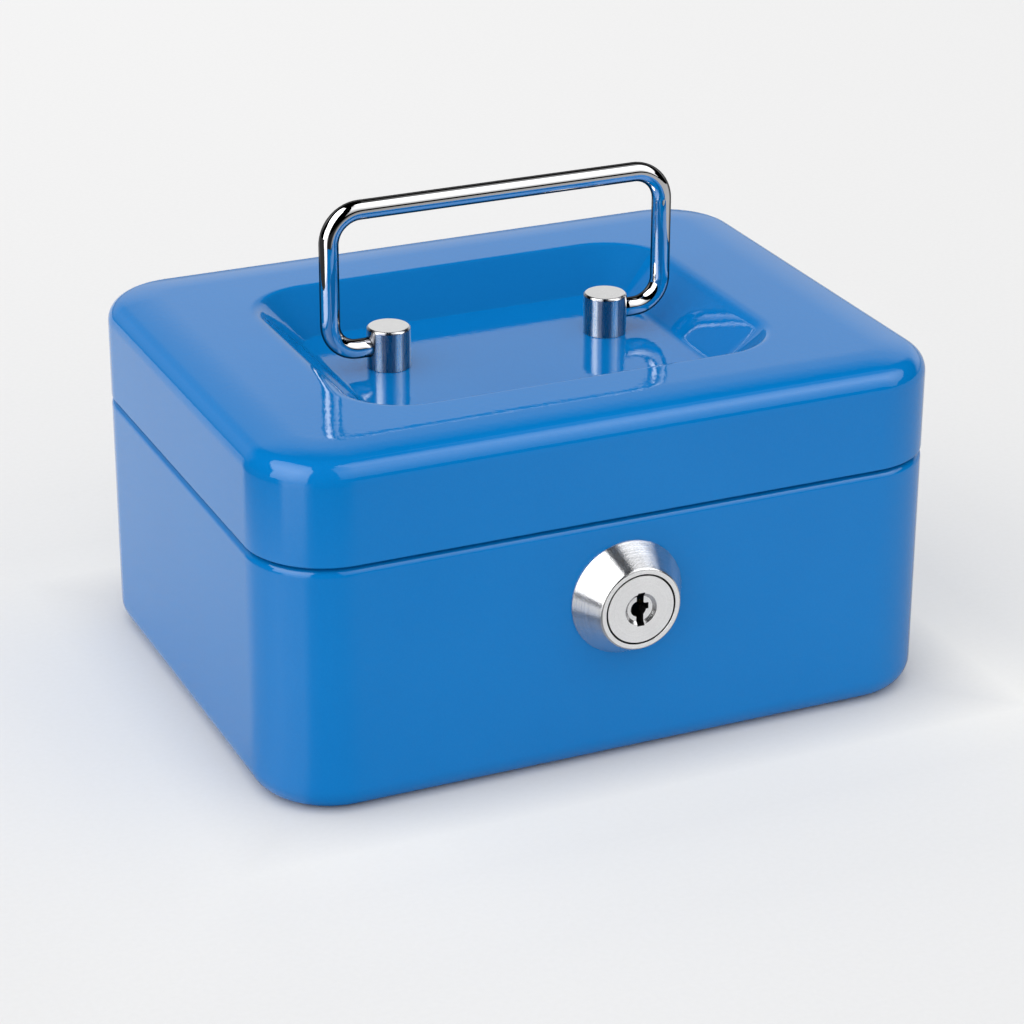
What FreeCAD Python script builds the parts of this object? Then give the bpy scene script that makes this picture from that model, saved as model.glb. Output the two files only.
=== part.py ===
import FreeCAD, Part
import math
import os
import Sketcher
from FreeCAD import Placement, Rotation, Vector

# A small steel cash box with a hinged lid, a folding wire handle and a wafer cam lock.
# Millimetres. +Z is up and the lock faces -Y. The origin is the centre of the underside.

document = FreeCAD.newDocument("cash_box")
sheet = document.addObject("Spreadsheet::Sheet", "Size")

# ---------------------------------------------------------------- driving dimensions

DIMENSIONS = (
    # Case
    ("body_width", 152, "case, left to right"),
    ("body_depth", 118, "case, front to back"),
    ("wall", 0.8, "sheet steel"),
    ("corner_radius", 17.25, "upright corners, seen from above"),
    ("base_edge_radius", 5.5, "rounded edge round the underside"),
    ("base_top", 54.4, "top of the base's shoulder"),
    ("shoulder_radius", 1.5, "base wall turning in to its rim"),
    ("rim_inset", 1.5, "rim's outer face, in from the base wall"),
    ("rim_top", 59.7, "top edge of the rim inside the lid"),
    ("overlap", 4, "how far joined forms run into each other"),
    # Lid
    ("lid_bottom", 55.1, "lower edge of the lid"),
    ("lid_top", 77.5, "flat of the lid"),
    ("roll_radius", 4.6, "edge between the lid's top and sides"),
    ("crown_radius", 50, "gentle fall of the top towards its edge"),
    ("crown_angle", 10, "slope where the crown meets the roll, degrees"),
    # Recess for the handle
    ("recess_floor", 68.7, "height of the recess floor"),
    ("recess_top_length", 96.6, "where the end walls would meet the flat"),
    ("recess_top_depth", 74, "where the long walls would meet the flat"),
    ("recess_floor_length", 77.3, "floor, left to right"),
    ("recess_floor_depth", 56.4, "floor, front to back"),
    ("recess_top_corner", 15, "corners at the top"),
    ("recess_floor_corner", 6, "corners at the floor"),
    ("recess_rim_radius", 4, "top edge rolled into the recess"),
    ("recess_foot_radius", 2, "foot of the recess walls"),
    # Handle and posts
    ("wire_radius", 2.125, "handle wire"),
    ("handle_depth", 5.8, "handle and posts, behind the middle"),
    ("pivot_height", 73.6, "handle's turning axis"),
    ("handle_rise", 31, "pivot to the middle of the grip bar"),
    ("leg_offset", 38.9, "handle legs, from the middle"),
    ("grip_bend", 7, "upper bends, on the wire's centre line"),
    ("foot_bend", 6.2, "lower bends, on the wire's centre line"),
    ("handle_tip", 26.6, "wire ends inside the posts, from the middle"),
    ("socket_clearance", 0.1, "round the wire in its socket"),
    ("socket_end", 26.2, "bottom of each socket, from the middle"),
    ("post_offset", 25.6, "posts, from the middle"),
    ("post_radius", 4.75, "handle post"),
    ("post_top", 77.8, "top of the posts"),
    ("post_bevel", 0.45, "bevel round the post's top"),
    ("spigot_radius", 2.9, "post's end in the lid's hole"),
    ("screw_radius", 2, "M4 post screws"),
    ("screw_end", 71, "tip of the post screws"),
    ("screw_head_radius", 3.8, "post screw heads"),
    ("screw_head_height", 1.8, "post screw heads"),
    ("screw_slot", 1, "driver slots"),
    ("washer_radius", 5, "post washers"),
    ("washer_thickness", 0.8, "post washers"),
    # Hinge
    ("hinge_length", 100, "whole hinge"),
    ("knuckle_gap", 0.4, "between knuckles"),
    ("knuckle_radius", 2.25, "rolled knuckles"),
    ("knuckle_standoff", 0.3, "between the knuckles and the walls"),
    ("hinge_height", 54.75, "pin axis, in the seam"),
    ("leaf_height", 10.75, "leaf, from the pin axis to its edge"),
    ("pin_radius", 1, "hinge pin"),
    ("pin_clearance", 0.06, "round the pin in the lid's knuckles"),
    ("stop_reach", 4.5, "stop tongues, behind the pin axis"),
    ("stop_height", 0.25, "top of the stop tongues, above the pin axis"),
    ("stop_length", 9, "stop tongues, left to right"),
    ("stop_start", 31, "stop tongues, from the middle"),
    ("rivet_radius", 1.5, "hinge rivets"),
    ("rivet_head_radius", 2.7, "hinge rivets"),
    ("rivet_head_height", 0.9, "hinge rivets"),
    ("rivet_inner", 20, "inner pair of rivets, from the middle"),
    ("rivet_outer", 45, "outer pair of rivets, from the middle"),
    ("rivet_height", 6.5, "rivets, from the pin axis"),
    # Lock
    ("lock_height", 37.3, "lock axis"),
    ("cone_radius", 12.5, "lock's flared nose at the wall"),
    ("face_radius", 8.8, "lock's flat face"),
    ("nose_length", 7, "nose proud of the wall"),
    ("nose_edge", 0.35, "rounded edge of the face"),
    ("barrel_radius", 9, "lock's threaded barrel"),
    ("barrel_flat", 8, "flats on the barrel, from its axis"),
    ("barrel_back", 47, "rear end of the barrel, in front of the middle"),
    ("hole_clearance", 0.1, "round the barrel in the wall"),
    ("plug_radius", 6, "turning plug"),
    ("plug_clearance", 0.08, "round the plug"),
    ("plug_face_radius", 7.4, "plug's face"),
    ("plug_recess_radius", 7.75, "pocket for the plug's face"),
    ("plug_face_depth", 1.8, "thickness of the plug's face"),
    ("keyway_width", 1.6, "keyway"),
    ("keyway_height", 7.4, "keyway"),
    ("keyway_depth", 13.5, "keyway, from the plug's face"),
    ("ward_width", 1.1, "side step of the keyway"),
    ("ward_height", 1.4, "side step of the keyway"),
    ("ward_rise", 0.4, "middle of the side step, above the lock axis"),
    ("keyhole_radius", 1.75, "round middle of the keyhole"),
    ("keyhole_side", 0.35, "round middle, left of the lock axis"),
    ("keyhole_depth", 2.6, "round middle, from the plug's face"),
    ("dish_radius", 3.45, "dished ring round the keyway"),
    ("dish_floor_radius", 2.75, "floor of the dish"),
    ("dish_depth", 0.6, "depth of the dish"),
    ("wafer_count", 4, "wafers"),
    ("wafer_pitch", 2.5, "from wafer to wafer"),
    ("wafer_first", 3.5, "front wafer, behind the plug's face"),
    ("wafer_thickness", 1.2, "wafer"),
    ("wafer_play", 0.1, "round a wafer in its slot"),
    ("wafer_width", 5.8, "wafer, across the plug"),
    ("wafer_height", 10.2, "wafer, along its travel"),
    ("wafer_window_width", 2.4, "hole for the key"),
    ("wafer_window_height", 6, "hole for the key"),
    ("spring_radius", 0.4, "wafer spring, to its wire's centre"),
    ("spring_wire", 0.1, "wafer spring wire, radius"),
    ("spring_offset", 3.5, "wafer spring, from the plug's axis"),
    ("spring_height", 5.6, "wafer spring"),
    ("spring_pitch", 0.8, "wafer spring"),
    ("nut_radius", 12.7, "lock nut, across its corners / 2"),
    ("nut_thickness", 3, "lock nut"),
    ("lock_washer_radius", 12.5, "washer under the lock nut"),
    ("lock_washer_thickness", 0.8, "washer under the lock nut"),
    ("tail_size", 5, "square tail of the plug"),
    ("cam_gap", 0.2, "between the barrel and the cam"),
    ("cam_thickness", 1.6, "cam"),
    ("cam_hub_radius", 6.8, "cam, round the tail"),
    ("cam_arm_width", 6, "cam arm"),
    ("hook_inner", 16.8, "hook's inner edge, from the lock axis"),
    ("hook_outer", 20.3, "hook's outer edge, from the lock axis"),
    ("hook_trail", 38, "hook behind the cam's middle line, degrees"),
    ("hook_lead", 15, "hook ahead of the cam's middle line, degrees"),
    ("arm_trail", 30, "arm behind the cam's middle line, degrees"),
    ("cam_screw_radius", 1.5, "cam screw"),
    ("cam_screw_length", 6, "cam screw"),
    ("cam_screw_head_radius", 4, "cam screw head"),
    ("cam_screw_head_height", 1.6, "cam screw head"),
    # Keeper on the lid
    ("keeper_thickness", 1.2, "keeper"),
    ("keeper_tip", 50.8, "lower end of the keeper"),
    ("keeper_foot", 61, "lower edge of the keeper's foot"),
    ("keeper_head", 71, "upper edge of the keeper"),
    ("keeper_foot_width", 13, "keeper's foot, along the wall"),
    ("keeper_back", 41.5, "keeper's rear edge, in front of the middle"),
    ("keeper_front", 51.5, "keeper's lower part, in front of the middle"),
    ("keeper_window_depth", 5.2, "window for the hook, front to back"),
    ("keeper_window_low", 53.4, "window for the hook"),
    ("keeper_window_high", 58.4, "window for the hook"),
    # Coin tray and its ledges
    ("tray_seat", 46, "underside of the tray's flange"),
    ("tray_flange", 1.5, "flange thickness"),
    ("tray_width", 143, "flange, left to right"),
    ("tray_depth", 109, "flange, front to back"),
    ("tray_corner", 14, "flange corners"),
    ("tray_floor", 25, "underside of the tray"),
    ("tray_wall", 1.5, "tray walls and floor"),
    ("well_width", 137, "tray below its flange, left to right"),
    ("well_front", 38.5, "tray below its flange, front face"),
    ("well_rear", 52.5, "tray below its flange, rear face"),
    ("well_split", 0, "front row to rear row of compartments"),
    ("well_corner", 7, "upright corners of the compartments"),
    ("well_foot", 4, "rounded bottom of the compartments"),
    ("notch_width", 48, "notch in the tray round the lock"),
    ("ledge_length", 60, "tray ledges, front to back"),
    ("ledge_reach", 5.9, "tray ledges, in from the wall"),
    ("ledge_height", 10, "tray ledges, up the wall"),
)


def fill_sheet():
    """Each row of the sheet: the dimension's name, its value and what it measures."""
    for row, (alias, value, meaning) in enumerate(DIMENSIONS, 1):
        sheet.set("A%d" % row, alias)
        sheet.set("B%d" % row, str(value))
        sheet.set("C%d" % row, meaning)
        sheet.setAlias("B%d" % row, alias)
    document.recompute()


def size(alias):
    """A dimension's value, for the few places that need a number instead of an expression."""
    return float(sheet.get(alias))


# ---------------------------------------------------------------- shared helpers


def bind(thing, **expressions):
    """Binds properties to expressions; two underscores in a name stand for a dot."""
    for name, expression in expressions.items():
        thing.setExpression(name.replace("__", "."), str(expression))
    return thing


def new_body(name):
    body = document.addObject("PartDesign::Body", name)
    body.Label = name
    return body


def origin_plane(body, role):
    return next(plane for plane in body.Origin.OriginFeatures if plane.Role == role)


def attach(item, body, role, at):
    """Puts a sketch or primitive on one of its body's planes, moved along the plane's axes."""
    item.AttachmentSupport = [(origin_plane(body, role), "")]
    item.MapMode = "FlatFace"
    for axis, expression in zip("xyz", at):
        item.setExpression("AttachmentOffset.Base." + axis, str(expression))
    return item


def new_sketch(body, name, role, height=0):
    sketch = body.newObject("Sketcher::SketchObject", name)
    return attach(sketch, body, role, (0, 0, height))


def primitive(body, kind, name, role, at, **sizes):
    """A PartDesign primitive on an origin plane. XZ_Plane's own z axis points to the front."""
    item = body.newObject("PartDesign::" + kind, name)
    attach(item, body, role, at)
    return bind(item, **sizes)


def box(body, kind, name, low, span):
    """An upright box from its lowest corner and its three lengths."""
    return primitive(body, kind + "Box", name, "XY_Plane", low,
                     Length=span[0], Width=span[1], Height=span[2])


def front_cylinder(body, kind, name, start, length, radius, across=0, height="Size.lock_height"):
    """A cylinder that runs forwards, starting at a distance in front of the middle."""
    return primitive(body, kind + "Cylinder", name, "XZ_Plane", (across, height, start),
                     Radius=radius, Height=length)


def rounded_rectangle(sketch, length_x, length_y, radius):
    """A centred rectangle with four equal corner arcs; its sizes are bound to expressions."""
    start = 10.0
    arc = 3.0
    side = start - arc
    runs = (((-side, -start), (side, -start)), ((start, -side), (start, side)),
            ((side, start), (-side, start)), ((-start, side), (-start, -side)))
    for first, last in runs:
        sketch.addGeometry(Part.LineSegment(Vector(*first, 0), Vector(*last, 0)))
    centres = ((side, -side), (side, side), (-side, side), (-side, -side))
    for turn, centre in enumerate(centres):
        circle = Part.Circle(Vector(*centre, 0), Vector(0, 0, 1), arc)
        angle = math.radians(90 * turn - 90)
        sketch.addGeometry(Part.ArcOfCircle(circle, angle, angle + math.pi / 2))
    for line in range(4):
        corner = line + 4
        sketch.addConstraint(Sketcher.Constraint("Tangent", line, 2, corner, 1))
        sketch.addConstraint(Sketcher.Constraint("Tangent", corner, 2, (line + 1) % 4, 1))
        direction = "Horizontal" if line % 2 == 0 else "Vertical"
        sketch.addConstraint(Sketcher.Constraint(direction, line))
    for corner in (5, 6, 7):
        sketch.addConstraint(Sketcher.Constraint("Equal", 4, corner))
    sketch.addConstraint(Sketcher.Constraint("Symmetric", 4, 3, 6, 3, -1, 1))
    named_constraint(sketch, "length_x", length_x, "DistanceX", 3, 1, 1, 1, 2 * start)
    named_constraint(sketch, "length_y", length_y, "DistanceY", 0, 1, 2, 1, 2 * start)
    named_constraint(sketch, "radius", radius, "Radius", 4, arc)
    return sketch


def named_constraint(sketch, name, expression, *definition):
    index = sketch.addConstraint(Sketcher.Constraint(*definition))
    sketch.renameConstraint(index, name)
    sketch.setExpression("Constraints." + name, str(expression))


def pad(body, name, sketch, length):
    feature = body.newObject("PartDesign::Pad", name)
    feature.Profile = sketch
    sketch.Visibility = False
    return bind(feature, Length=length)


def rounded_block(body, name, length_x, length_y, radius, low, high):
    """An upright block with rounded corners between two heights."""
    outline = new_sketch(body, name + "_outline", "XY_Plane", low)
    rounded_rectangle(outline, length_x, length_y, radius)
    return pad(body, name, outline, "(%s) - (%s)" % (high, low))


def chosen_edges(shape, test):
    """Names of the edges whose box passes the test."""
    return ["Edge%d" % number for number, edge in enumerate(shape.Edges, 1) if test(edge.BoundBox)]


def level(height, reach_x=math.inf, reach_y=math.inf):
    """A test for edges that lie flat at a height and near enough to the middle."""
    def test(bounds):
        flat = abs(bounds.ZMin - height) < 1e-3 and abs(bounds.ZMax - height) < 1e-3
        return flat and abs(bounds.Center.x) < reach_x and abs(bounds.Center.y) < reach_y
    return test


def fillet(body, name, feature, test, radius, kind="Fillet", **sizes):
    """Rounds or bevels the chosen edges of a feature."""
    document.recompute()
    edges = chosen_edges(feature.Shape, test)
    if not edges:
        raise ValueError("no edge for " + name)
    rounded = body.newObject("PartDesign::" + kind, name)
    rounded.Base = (feature, edges)
    if kind == "Chamfer":
        return bind(rounded, Size=radius, **sizes)
    return bind(rounded, Radius=radius)


def cut(name, base, tools):
    """One object less another. Several tools are gathered first."""
    tool = tools[0]
    if len(tools) > 1:
        tool = document.addObject("Part::Compound", name + "_tools")
        tool.Links = tools
    result = document.addObject("Part::Cut", name)
    result.Label = name
    result.Base = base
    result.Tool = tool
    return result


def group(name, pieces):
    """Loose identical pieces as one node."""
    result = document.addObject("Part::Compound", name)
    result.Label = name
    result.Links = pieces
    return result


def plain_cylinder(name, radius, length, at, turn):
    """A cylinder with a bound radius, length and start point, turned from upright."""
    item = document.addObject("Part::Cylinder", name)
    item.Placement = Placement(Vector(), turn)
    bind(item, Radius=radius, Height=length)
    return bind(item, Placement__Base__x=at[0], Placement__Base__y=at[1], Placement__Base__z=at[2])


UPRIGHT = Rotation()
TO_FRONT = Rotation(Vector(1, 0, 0), 90)
TO_REAR = Rotation(Vector(1, 0, 0), -90)
TO_RIGHT = Rotation(Vector(0, 1, 0), 90)


RIVETS = ("-Size.rivet_outer", "-Size.rivet_inner", "Size.rivet_inner", "Size.rivet_outer")


# ---------------------------------------------------------------- case


def base_form(name, inset):
    """The base's outer surface, or its cavity when the inset is the wall."""
    body = new_body(name)
    rim_inset = "(Size.rim_inset + %s)" % inset
    block = rounded_block(
        body, name + "_block", "Size.body_width - 2 * (%s)" % inset, "Size.body_depth - 2 * (%s)" % inset,
        "Size.corner_radius - (%s)" % inset, inset, "Size.base_top - (%s)" % inset)
    depth = 0 if inset == "0" else size("wall")
    foot = fillet(body, name + "_foot", block, level(depth), "Size.base_edge_radius - (%s)" % inset)
    fillet(body, name + "_shoulder", foot, level(size("base_top") - depth),
           "Size.shoulder_radius - (%s)" % inset)
    open_end = "Size.rim_top + (%s)" % inset
    rounded_block(body, name + "_rim", "Size.body_width - 2 * " + rim_inset,
                  "Size.body_depth - 2 * " + rim_inset, "Size.corner_radius - " + rim_inset,
                  "Size.base_top - Size.overlap", open_end)
    return body


def rivet_holes(name, height):
    """Four holes through the rear wall at a height."""
    holes = []
    for number, across in enumerate(RIVETS, 1):
        at = (across, "Size.body_depth / 2 - 2 * Size.wall", height)
        holes.append(plain_cylinder("%s_%d" % (name, number), "Size.rivet_radius",
                                    "4 * Size.wall", at, TO_REAR))
    return holes


def lock_hole():
    """Hole in the front wall with two flats, so that the lock can't turn."""
    body = new_body("lock_hole")
    start = "Size.body_depth / 2 - 2 * Size.wall"
    front_cylinder(body, "Additive", "lock_hole_round", start, "4 * Size.wall",
                   "Size.barrel_radius + Size.hole_clearance")
    for side in (-1, 1):
        low = "%d * (Size.barrel_flat + Size.hole_clearance)" % side
        if side < 0:
            low += " - Size.barrel_radius"
        box(body, "Subtractive", "lock_hole_flat", (low, "-Size.body_depth / 2 - 3 * Size.wall",
            "Size.lock_height - 2 * Size.barrel_radius"),
            ("Size.barrel_radius", "6 * Size.wall", "4 * Size.barrel_radius"))
    return body


def base_shell():
    shell = cut("base_sheet", base_form("base_outer", "0"), [base_form("base_cavity", "Size.wall")])
    holes = rivet_holes("base_rivet_hole", "Size.hinge_height - Size.rivet_height")
    return cut("base_shell", shell, [lock_hole()] + holes)


def edge_section(sketch, inset):
    """Waste outside the lid's crown and roll: two arcs that meet tangentially, then a square."""
    slope = math.radians(size("crown_angle"))
    crown = size("crown_radius") - inset
    roll = size("roll_radius") - inset
    side = size("body_depth") / 2 - inset
    top = size("lid_top") - inset
    clear = size("overlap")
    roll_centre = Vector(side - roll, top - crown + (crown - roll) * math.cos(slope), 0)
    crown_centre = Vector(roll_centre.x - (crown - roll) * math.sin(slope), top - crown, 0)
    normal = Vector(0, 0, 1)
    sketch.addGeometry(Part.ArcOfCircle(Part.Circle(crown_centre, normal, crown),
                                        math.pi / 2 - slope, math.pi / 2))
    sketch.addGeometry(Part.ArcOfCircle(Part.Circle(roll_centre, normal, roll),
                                        0, math.pi / 2 - slope))
    corners = (Vector(side, roll_centre.y, 0), Vector(side + clear, roll_centre.y, 0),
               Vector(side + clear, top + clear, 0), Vector(crown_centre.x, top + clear, 0),
               Vector(crown_centre.x, top, 0))
    for first, last in zip(corners, corners[1:]):
        sketch.addGeometry(Part.LineSegment(first, last))


def wall_offset(top, floor):
    """How far a sloping recess wall moves level when the sheet's thickness is added to it."""
    slope = "((%s - %s) / 2 / (Size.lid_top - Size.recess_floor))" % (top, floor)
    return slope, "(sqrt(1 + %s ^ 2))" % slope


def recess_section(body, name, inset, height, corner):
    """The recess's outline at a height; the cavity's is larger all round by the sheet."""
    sketch = new_sketch(body, name, "XY_Plane", height)
    lengths = []
    for top, floor in (("Size.recess_top_length", "Size.recess_floor_length"),
                       ("Size.recess_top_depth", "Size.recess_floor_depth")):
        slope, spread = wall_offset(top, floor)
        rise = "(%s - Size.recess_floor)" % height
        lengths.append("%s + 2 * %s * %s + 2 * %s * (%s)" % (floor, slope, rise, spread, inset))
    return rounded_rectangle(sketch, lengths[0], lengths[1], "%s + (%s)" % (corner, inset))


def lid_form(name, inset):
    """The lid's outer surface, or its cavity when the inset is the wall."""
    body = new_body(name)
    depth = 0 if inset == "0" else size("wall")
    overlap = "0" if inset == "0" else "Size.overlap"
    outline = new_sketch(body, name + "_outline", "XY_Plane", "Size.lid_bottom - %s" % overlap)
    rounded_rectangle(outline, "Size.body_width - 2 * (%s)" % inset,
                      "Size.body_depth - 2 * (%s)" % inset, "Size.corner_radius - (%s)" % inset)
    pad(body, name + "_block", outline, "Size.lid_top - (%s) - Size.lid_bottom + %s" % (inset, overlap))
    section = new_sketch(body, name + "_edge_section", "YZ_Plane")
    edge_section(section, depth)
    roll = body.newObject("PartDesign::SubtractivePipe", name + "_roll")
    roll.Profile = section
    roll.Spine = (outline, [])
    document.recompute()
    above = "(Size.lid_top + Size.overlap)"
    floor = "(Size.recess_floor - %s)" % inset
    recess = body.newObject("PartDesign::SubtractiveLoft", name + "_recess")
    recess.Profile = recess_section(body, name + "_recess_top", inset, above, "Size.recess_top_corner")
    recess.Sections = [recess_section(body, name + "_recess_bottom", inset, floor,
                                      "Size.recess_floor_corner")]
    body.Tip = recess
    near_x = size("recess_top_length") / 2 + size("overlap")
    near_y = size("recess_top_depth") / 2 + size("overlap")
    rim = fillet(body, name + "_recess_rim", recess, level(size("lid_top") - depth, near_x, near_y),
                 "Size.recess_rim_radius - (%s)" % inset)
    fillet(body, name + "_recess_foot", rim, level(size("recess_floor") - depth, near_x, near_y),
           "Size.recess_foot_radius + (%s)" % inset)
    return body


def lid_shell():
    sheet_metal = cut("lid_sheet", lid_form("lid_outer", "0"), [lid_form("lid_cavity", "Size.wall")])
    holes = rivet_holes("lid_rivet_hole", "Size.hinge_height + Size.rivet_height")
    for side, across in (("left", "-Size.post_offset"), ("right", "Size.post_offset")):
        at = (across, "Size.handle_depth", "Size.recess_floor - 2 * Size.wall")
        holes.append(plain_cylinder("spigot_hole_" + side, "Size.spigot_radius",
                                    "4 * Size.wall", at, UPRIGHT))
    return cut("lid_shell", sheet_metal, holes)


# ---------------------------------------------------------------- handle


def handle():
    """Bent wire: both ends point inwards at the pivot, two legs and the grip bar between them."""
    body = new_body("handle")
    path = new_sketch(body, "handle_path", "XZ_Plane", "-Size.handle_depth")
    leg, tip, low, high = 40.0, 25.0, 70.0, 100.0
    bend = 5.0
    points = ((-tip, low), (-leg, low), (-leg, high), (leg, high), (leg, low), (tip, low))
    steps = [Vector(*last, 0) - Vector(*first, 0) for first, last in zip(points, points[1:])]
    for number, step in enumerate(steps):
        unit = step / step.Length
        first = Vector(*points[number], 0) + (unit * bend if number > 0 else Vector())
        last = Vector(*points[number + 1], 0) - (unit * bend if number < 4 else Vector())
        path.addGeometry(Part.LineSegment(first, last))
    inward = ((1, 1), (1, -1), (-1, -1), (-1, 1))
    starts = (180, 90, 0, 270)
    for number, (way, angle) in enumerate(zip(inward, starts), 1):
        centre = Vector(*points[number], 0) + Vector(way[0], way[1], 0) * bend
        circle = Part.Circle(centre, Vector(0, 0, 1), bend)
        path.addGeometry(Part.ArcOfCircle(circle, math.radians(angle), math.radians(angle + 90)))
    # The wire is drawn clockwise, so each bend's arc starts where the next run begins.
    for number in range(4):
        path.addConstraint(Sketcher.Constraint("Tangent", number, 2, number + 5, 2))
        path.addConstraint(Sketcher.Constraint("Tangent", number + 5, 1, number + 1, 1))
    for line in range(5):
        direction = "Vertical" if line % 2 else "Horizontal"
        path.addConstraint(Sketcher.Constraint(direction, line))
    path.addConstraint(Sketcher.Constraint("Equal", 6, 7))
    path.addConstraint(Sketcher.Constraint("Symmetric", 0, 1, 4, 2, -2))
    path.addConstraint(Sketcher.Constraint("Symmetric", 1, 1, 3, 2, -2))
    named_constraint(path, "foot_bend", "Size.foot_bend", "Radius", 5, bend)
    named_constraint(path, "grip_bend", "Size.grip_bend", "Radius", 6, bend)
    named_constraint(path, "tips", "2 * Size.handle_tip", "DistanceX", 0, 1, 4, 2, 2 * tip)
    named_constraint(path, "legs", "2 * Size.leg_offset", "DistanceX", 1, 1, 3, 2, 2 * leg)
    named_constraint(path, "pivot", "Size.pivot_height", "DistanceY", -1, 1, 0, 1, low)
    named_constraint(path, "rise", "Size.handle_rise", "DistanceY", 0, 1, 2, 1, high - low)
    section = new_sketch(body, "handle_section", "YZ_Plane", "-Size.handle_tip")
    section.addGeometry(Part.Circle(Vector(5, 70, 0), Vector(0, 0, 1), 2))
    named_constraint(section, "radius", "Size.wire_radius", "Radius", 0, 2)
    named_constraint(section, "depth", "Size.handle_depth", "DistanceX", -1, 1, 0, 3, 5)
    named_constraint(section, "pivot", "Size.pivot_height", "DistanceY", -1, 1, 0, 3, 70)
    wire = body.newObject("PartDesign::AdditivePipe", "handle_wire")
    wire.Profile = section
    wire.Spine = (path, [])
    return body


def handle_post(side, sign):
    """Turned post: bevelled top, spigot through the lid, socket for the wire, screw hole below."""
    body = new_body("handle_post_" + side)
    across = "%d * Size.post_offset" % sign
    stem = primitive(body, "AdditiveCylinder", "post_stem", "XY_Plane",
                     (across, "Size.handle_depth", "Size.recess_floor"),
                     Radius="Size.post_radius", Height="Size.post_top - Size.recess_floor")
    fillet(body, "post_bevel", stem, level(size("post_top")), "Size.post_bevel", "Chamfer")
    primitive(body, "AdditiveCylinder", "post_spigot", "XY_Plane",
              (across, "Size.handle_depth", "Size.recess_floor - Size.wall"),
              Radius="Size.spigot_radius", Height="Size.overlap")
    primitive(body, "SubtractiveCylinder", "post_screw_hole", "XY_Plane",
              (across, "Size.handle_depth", "Size.recess_floor - Size.overlap"),
              Radius="Size.screw_radius", Height="Size.screw_end - Size.recess_floor + Size.overlap")
    socket_length = "(Size.post_offset + 2 * Size.post_radius - Size.socket_end)"
    start = "Size.socket_end" if sign > 0 else "-Size.socket_end - " + socket_length
    primitive(body, "SubtractiveCylinder", "post_socket", "YZ_Plane",
              ("Size.handle_depth", "Size.pivot_height", start),
              Radius="Size.wire_radius + Size.socket_clearance", Height=socket_length)
    return body


def post_screws():
    """Slotted pan-head screws that hold the posts from inside the lid."""
    screws = []
    for side, sign in (("left", -1), ("right", 1)):
        body = new_body("post_screw_" + side)
        across = "%d * Size.post_offset" % sign
        under = "(Size.recess_floor - Size.wall - Size.washer_thickness)"
        head = primitive(body, "AdditiveCylinder", "screw_head", "XY_Plane",
                         (across, "Size.handle_depth", under + " - Size.screw_head_height"),
                         Radius="Size.screw_head_radius", Height="Size.screw_head_height")
        low = size("recess_floor") - size("wall") - size("washer_thickness") - size("screw_head_height")
        fillet(body, "screw_round", head, level(low), "Size.screw_head_height / 2")
        primitive(body, "AdditiveCylinder", "screw_shank", "XY_Plane",
                  (across, "Size.handle_depth", under), Radius="Size.screw_radius",
                  Height="Size.screw_end - " + under)
        box(body, "Subtractive", "screw_slot",
            (across + " - Size.screw_slot / 2", "Size.handle_depth - 2 * Size.screw_head_radius",
             under + " - 2 * Size.screw_head_height"),
            ("Size.screw_slot", "4 * Size.screw_head_radius", "1.5 * Size.screw_head_height"))
        screws.append(body)
    return group("post_screws", screws)


def post_washers():
    washers = []
    for side, sign in (("left", -1), ("right", 1)):
        body = new_body("post_washer_" + side)
        at = ("%d * Size.post_offset" % sign, "Size.handle_depth",
              "Size.recess_floor - Size.wall - Size.washer_thickness")
        primitive(body, "AdditiveCylinder", "washer_disc", "XY_Plane", at,
                  Radius="Size.washer_radius", Height="Size.washer_thickness")
        primitive(body, "SubtractiveCylinder", "washer_hole", "XY_Plane", at,
                  Radius="Size.screw_radius", Height="Size.washer_thickness")
        washers.append(body)
    return group("post_washers", washers)


# ---------------------------------------------------------------- hinge

KNUCKLES = 5
HINGE_DEPTH = "Size.body_depth / 2 + Size.knuckle_standoff + Size.knuckle_radius"


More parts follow.
